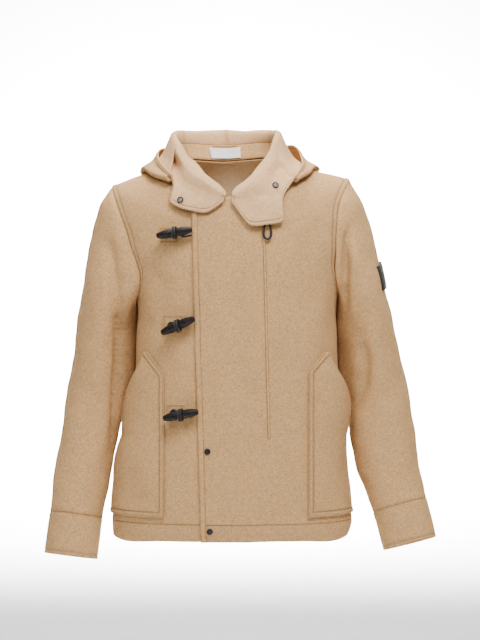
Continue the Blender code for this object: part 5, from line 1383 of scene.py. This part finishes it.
# Pressed brass under lacquer or an oxide finish, faintly clouded where it has been handled.
LACQUER = flecked("black lacquered cap", "#070606", "#141211", 0.003, 3.0, Roughness=0.45, Metallic=0.0)
OXIDE = flecked("blackened metal socket", "#141311", "#24221f", 0.003, 3.0, Roughness=0.5, Metallic=0.3)
GREY_METAL = flecked("grey socket centre", "#4c4a43", "#6d6a60", 0.003, 3.0, Roughness=0.5, Metallic=0.4)
for number, (x, z) in enumerate(FRONT_SNAPS, 1):
    seat, out = front_point(x, z, 1, SEAM + 0.0010)
    seat = seat + out * slack(seat)
    dome = [(height, SNAP_RADIUS * share) for height, share in DOME]
    dressed(turned(f"snap_{number}_cap", out, seat, dome, 40, [LACQUER]), "black_snap", f"snap_{number}")
for side, name in ((-1, "right"), (1, "left")):
    x, z = COLLAR_SNAPS[side]
    away = np.hypot(flap_face[..., 0] - x, flap_face[..., 2] - z) + 0.1 * (flap_out[..., 1] > -0.2)
    i, j = np.unravel_index(away.argmin(), away.shape)
    socket = [(height, COLLAR_SNAP_RADIUS * share) for height, share in SOCKET]
    dressed(turned("collar_snap_" + name + "_socket", flap_out[i, j],
                   flap_face[i, j] + flap_out[i, j] * (SEAM + 0.0003), socket, 40, [OXIDE, GREY_METAL],
                   finish_from=5), "collar_snap", "collar_snap_" + name)

# ---- Studio -------------------------------------------------------------------------------
# A pale floor that sweeps up behind the jacket, lit by large soft boxes from the front and above.
# A fourth one, with louvres, lights the sweep behind.
FLOOR, FLOOR_FRONT, FLOOR_SIDE = -1.30, -6.0, 9.0
SWEEP_START, SWEEP_RADIUS, SWEEP_TOP = 4.0, 2.0, 7.0
# Matt wall paint rolled on smooth board, with clouds of a quarter of a metre.
PAINT = flecked("painted studio floor", "#f4f4f4", "#fafafa", 0.25, Roughness=0.9)
profile = [(FLOOR_FRONT, FLOOR)]
for bend in np.radians(np.linspace(0, 90, 13)):
    profile.append((SWEEP_START + SWEEP_RADIUS * math.sin(bend),
                    FLOOR + SWEEP_RADIUS * (1 - math.cos(bend))))
profile.append((SWEEP_START + SWEEP_RADIUS, SWEEP_TOP))
points = [(x, y, z) for y, z in profile for x in (-FLOOR_SIDE, FLOOR_SIDE)]
faces = [(2 * n, 2 * n + 1, 2 * n + 3, 2 * n + 2) for n in range(len(profile) - 1)]
floor = piece_of("studio_floor", points, faces, [PAINT])


def soft_box(name, place, towards, size, power, spread=180):
    """A rectangular soft box that faces a point. spread is the angle that its louvres leave open."""
    data = bpy.data.lights.new(name, "AREA")
    data.shape = "RECTANGLE"
    data.size, data.size_y = size
    data.energy = power
    data.spread = math.radians(spread)
    lamp = bpy.data.objects.new(name, data)
    lamp.location = place
    lamp.rotation_euler = (Vector(towards) - Vector(place)).to_track_quat("-Z", "Y").to_euler()
    bpy.context.scene.collection.objects.link(lamp)


soft_box("key", (0.6, -1.7, 2.1), (0, 0, 0.10), (1.2, 0.9), 132)
soft_box("fill", (-1.0, -2.1, 1.4), (0, 0, -0.10), (1.2, 1.0), 37)
soft_box("top", (0, 0.3, 2.2), (0, 0, 0), (2.0, 1.0), 120)
soft_box("background", (0, 1.9, 2.6), (0, 5.8, -0.5), (4.2, 1.6), 1500, spread=75)
world = bpy.data.worlds.new("studio")
world.use_nodes = True
world.node_tree.nodes["Background"].inputs["Color"].default_value = linear("#ffffff")
world.node_tree.nodes["Background"].inputs["Strength"].default_value = 0.08
bpy.context.scene.world = world
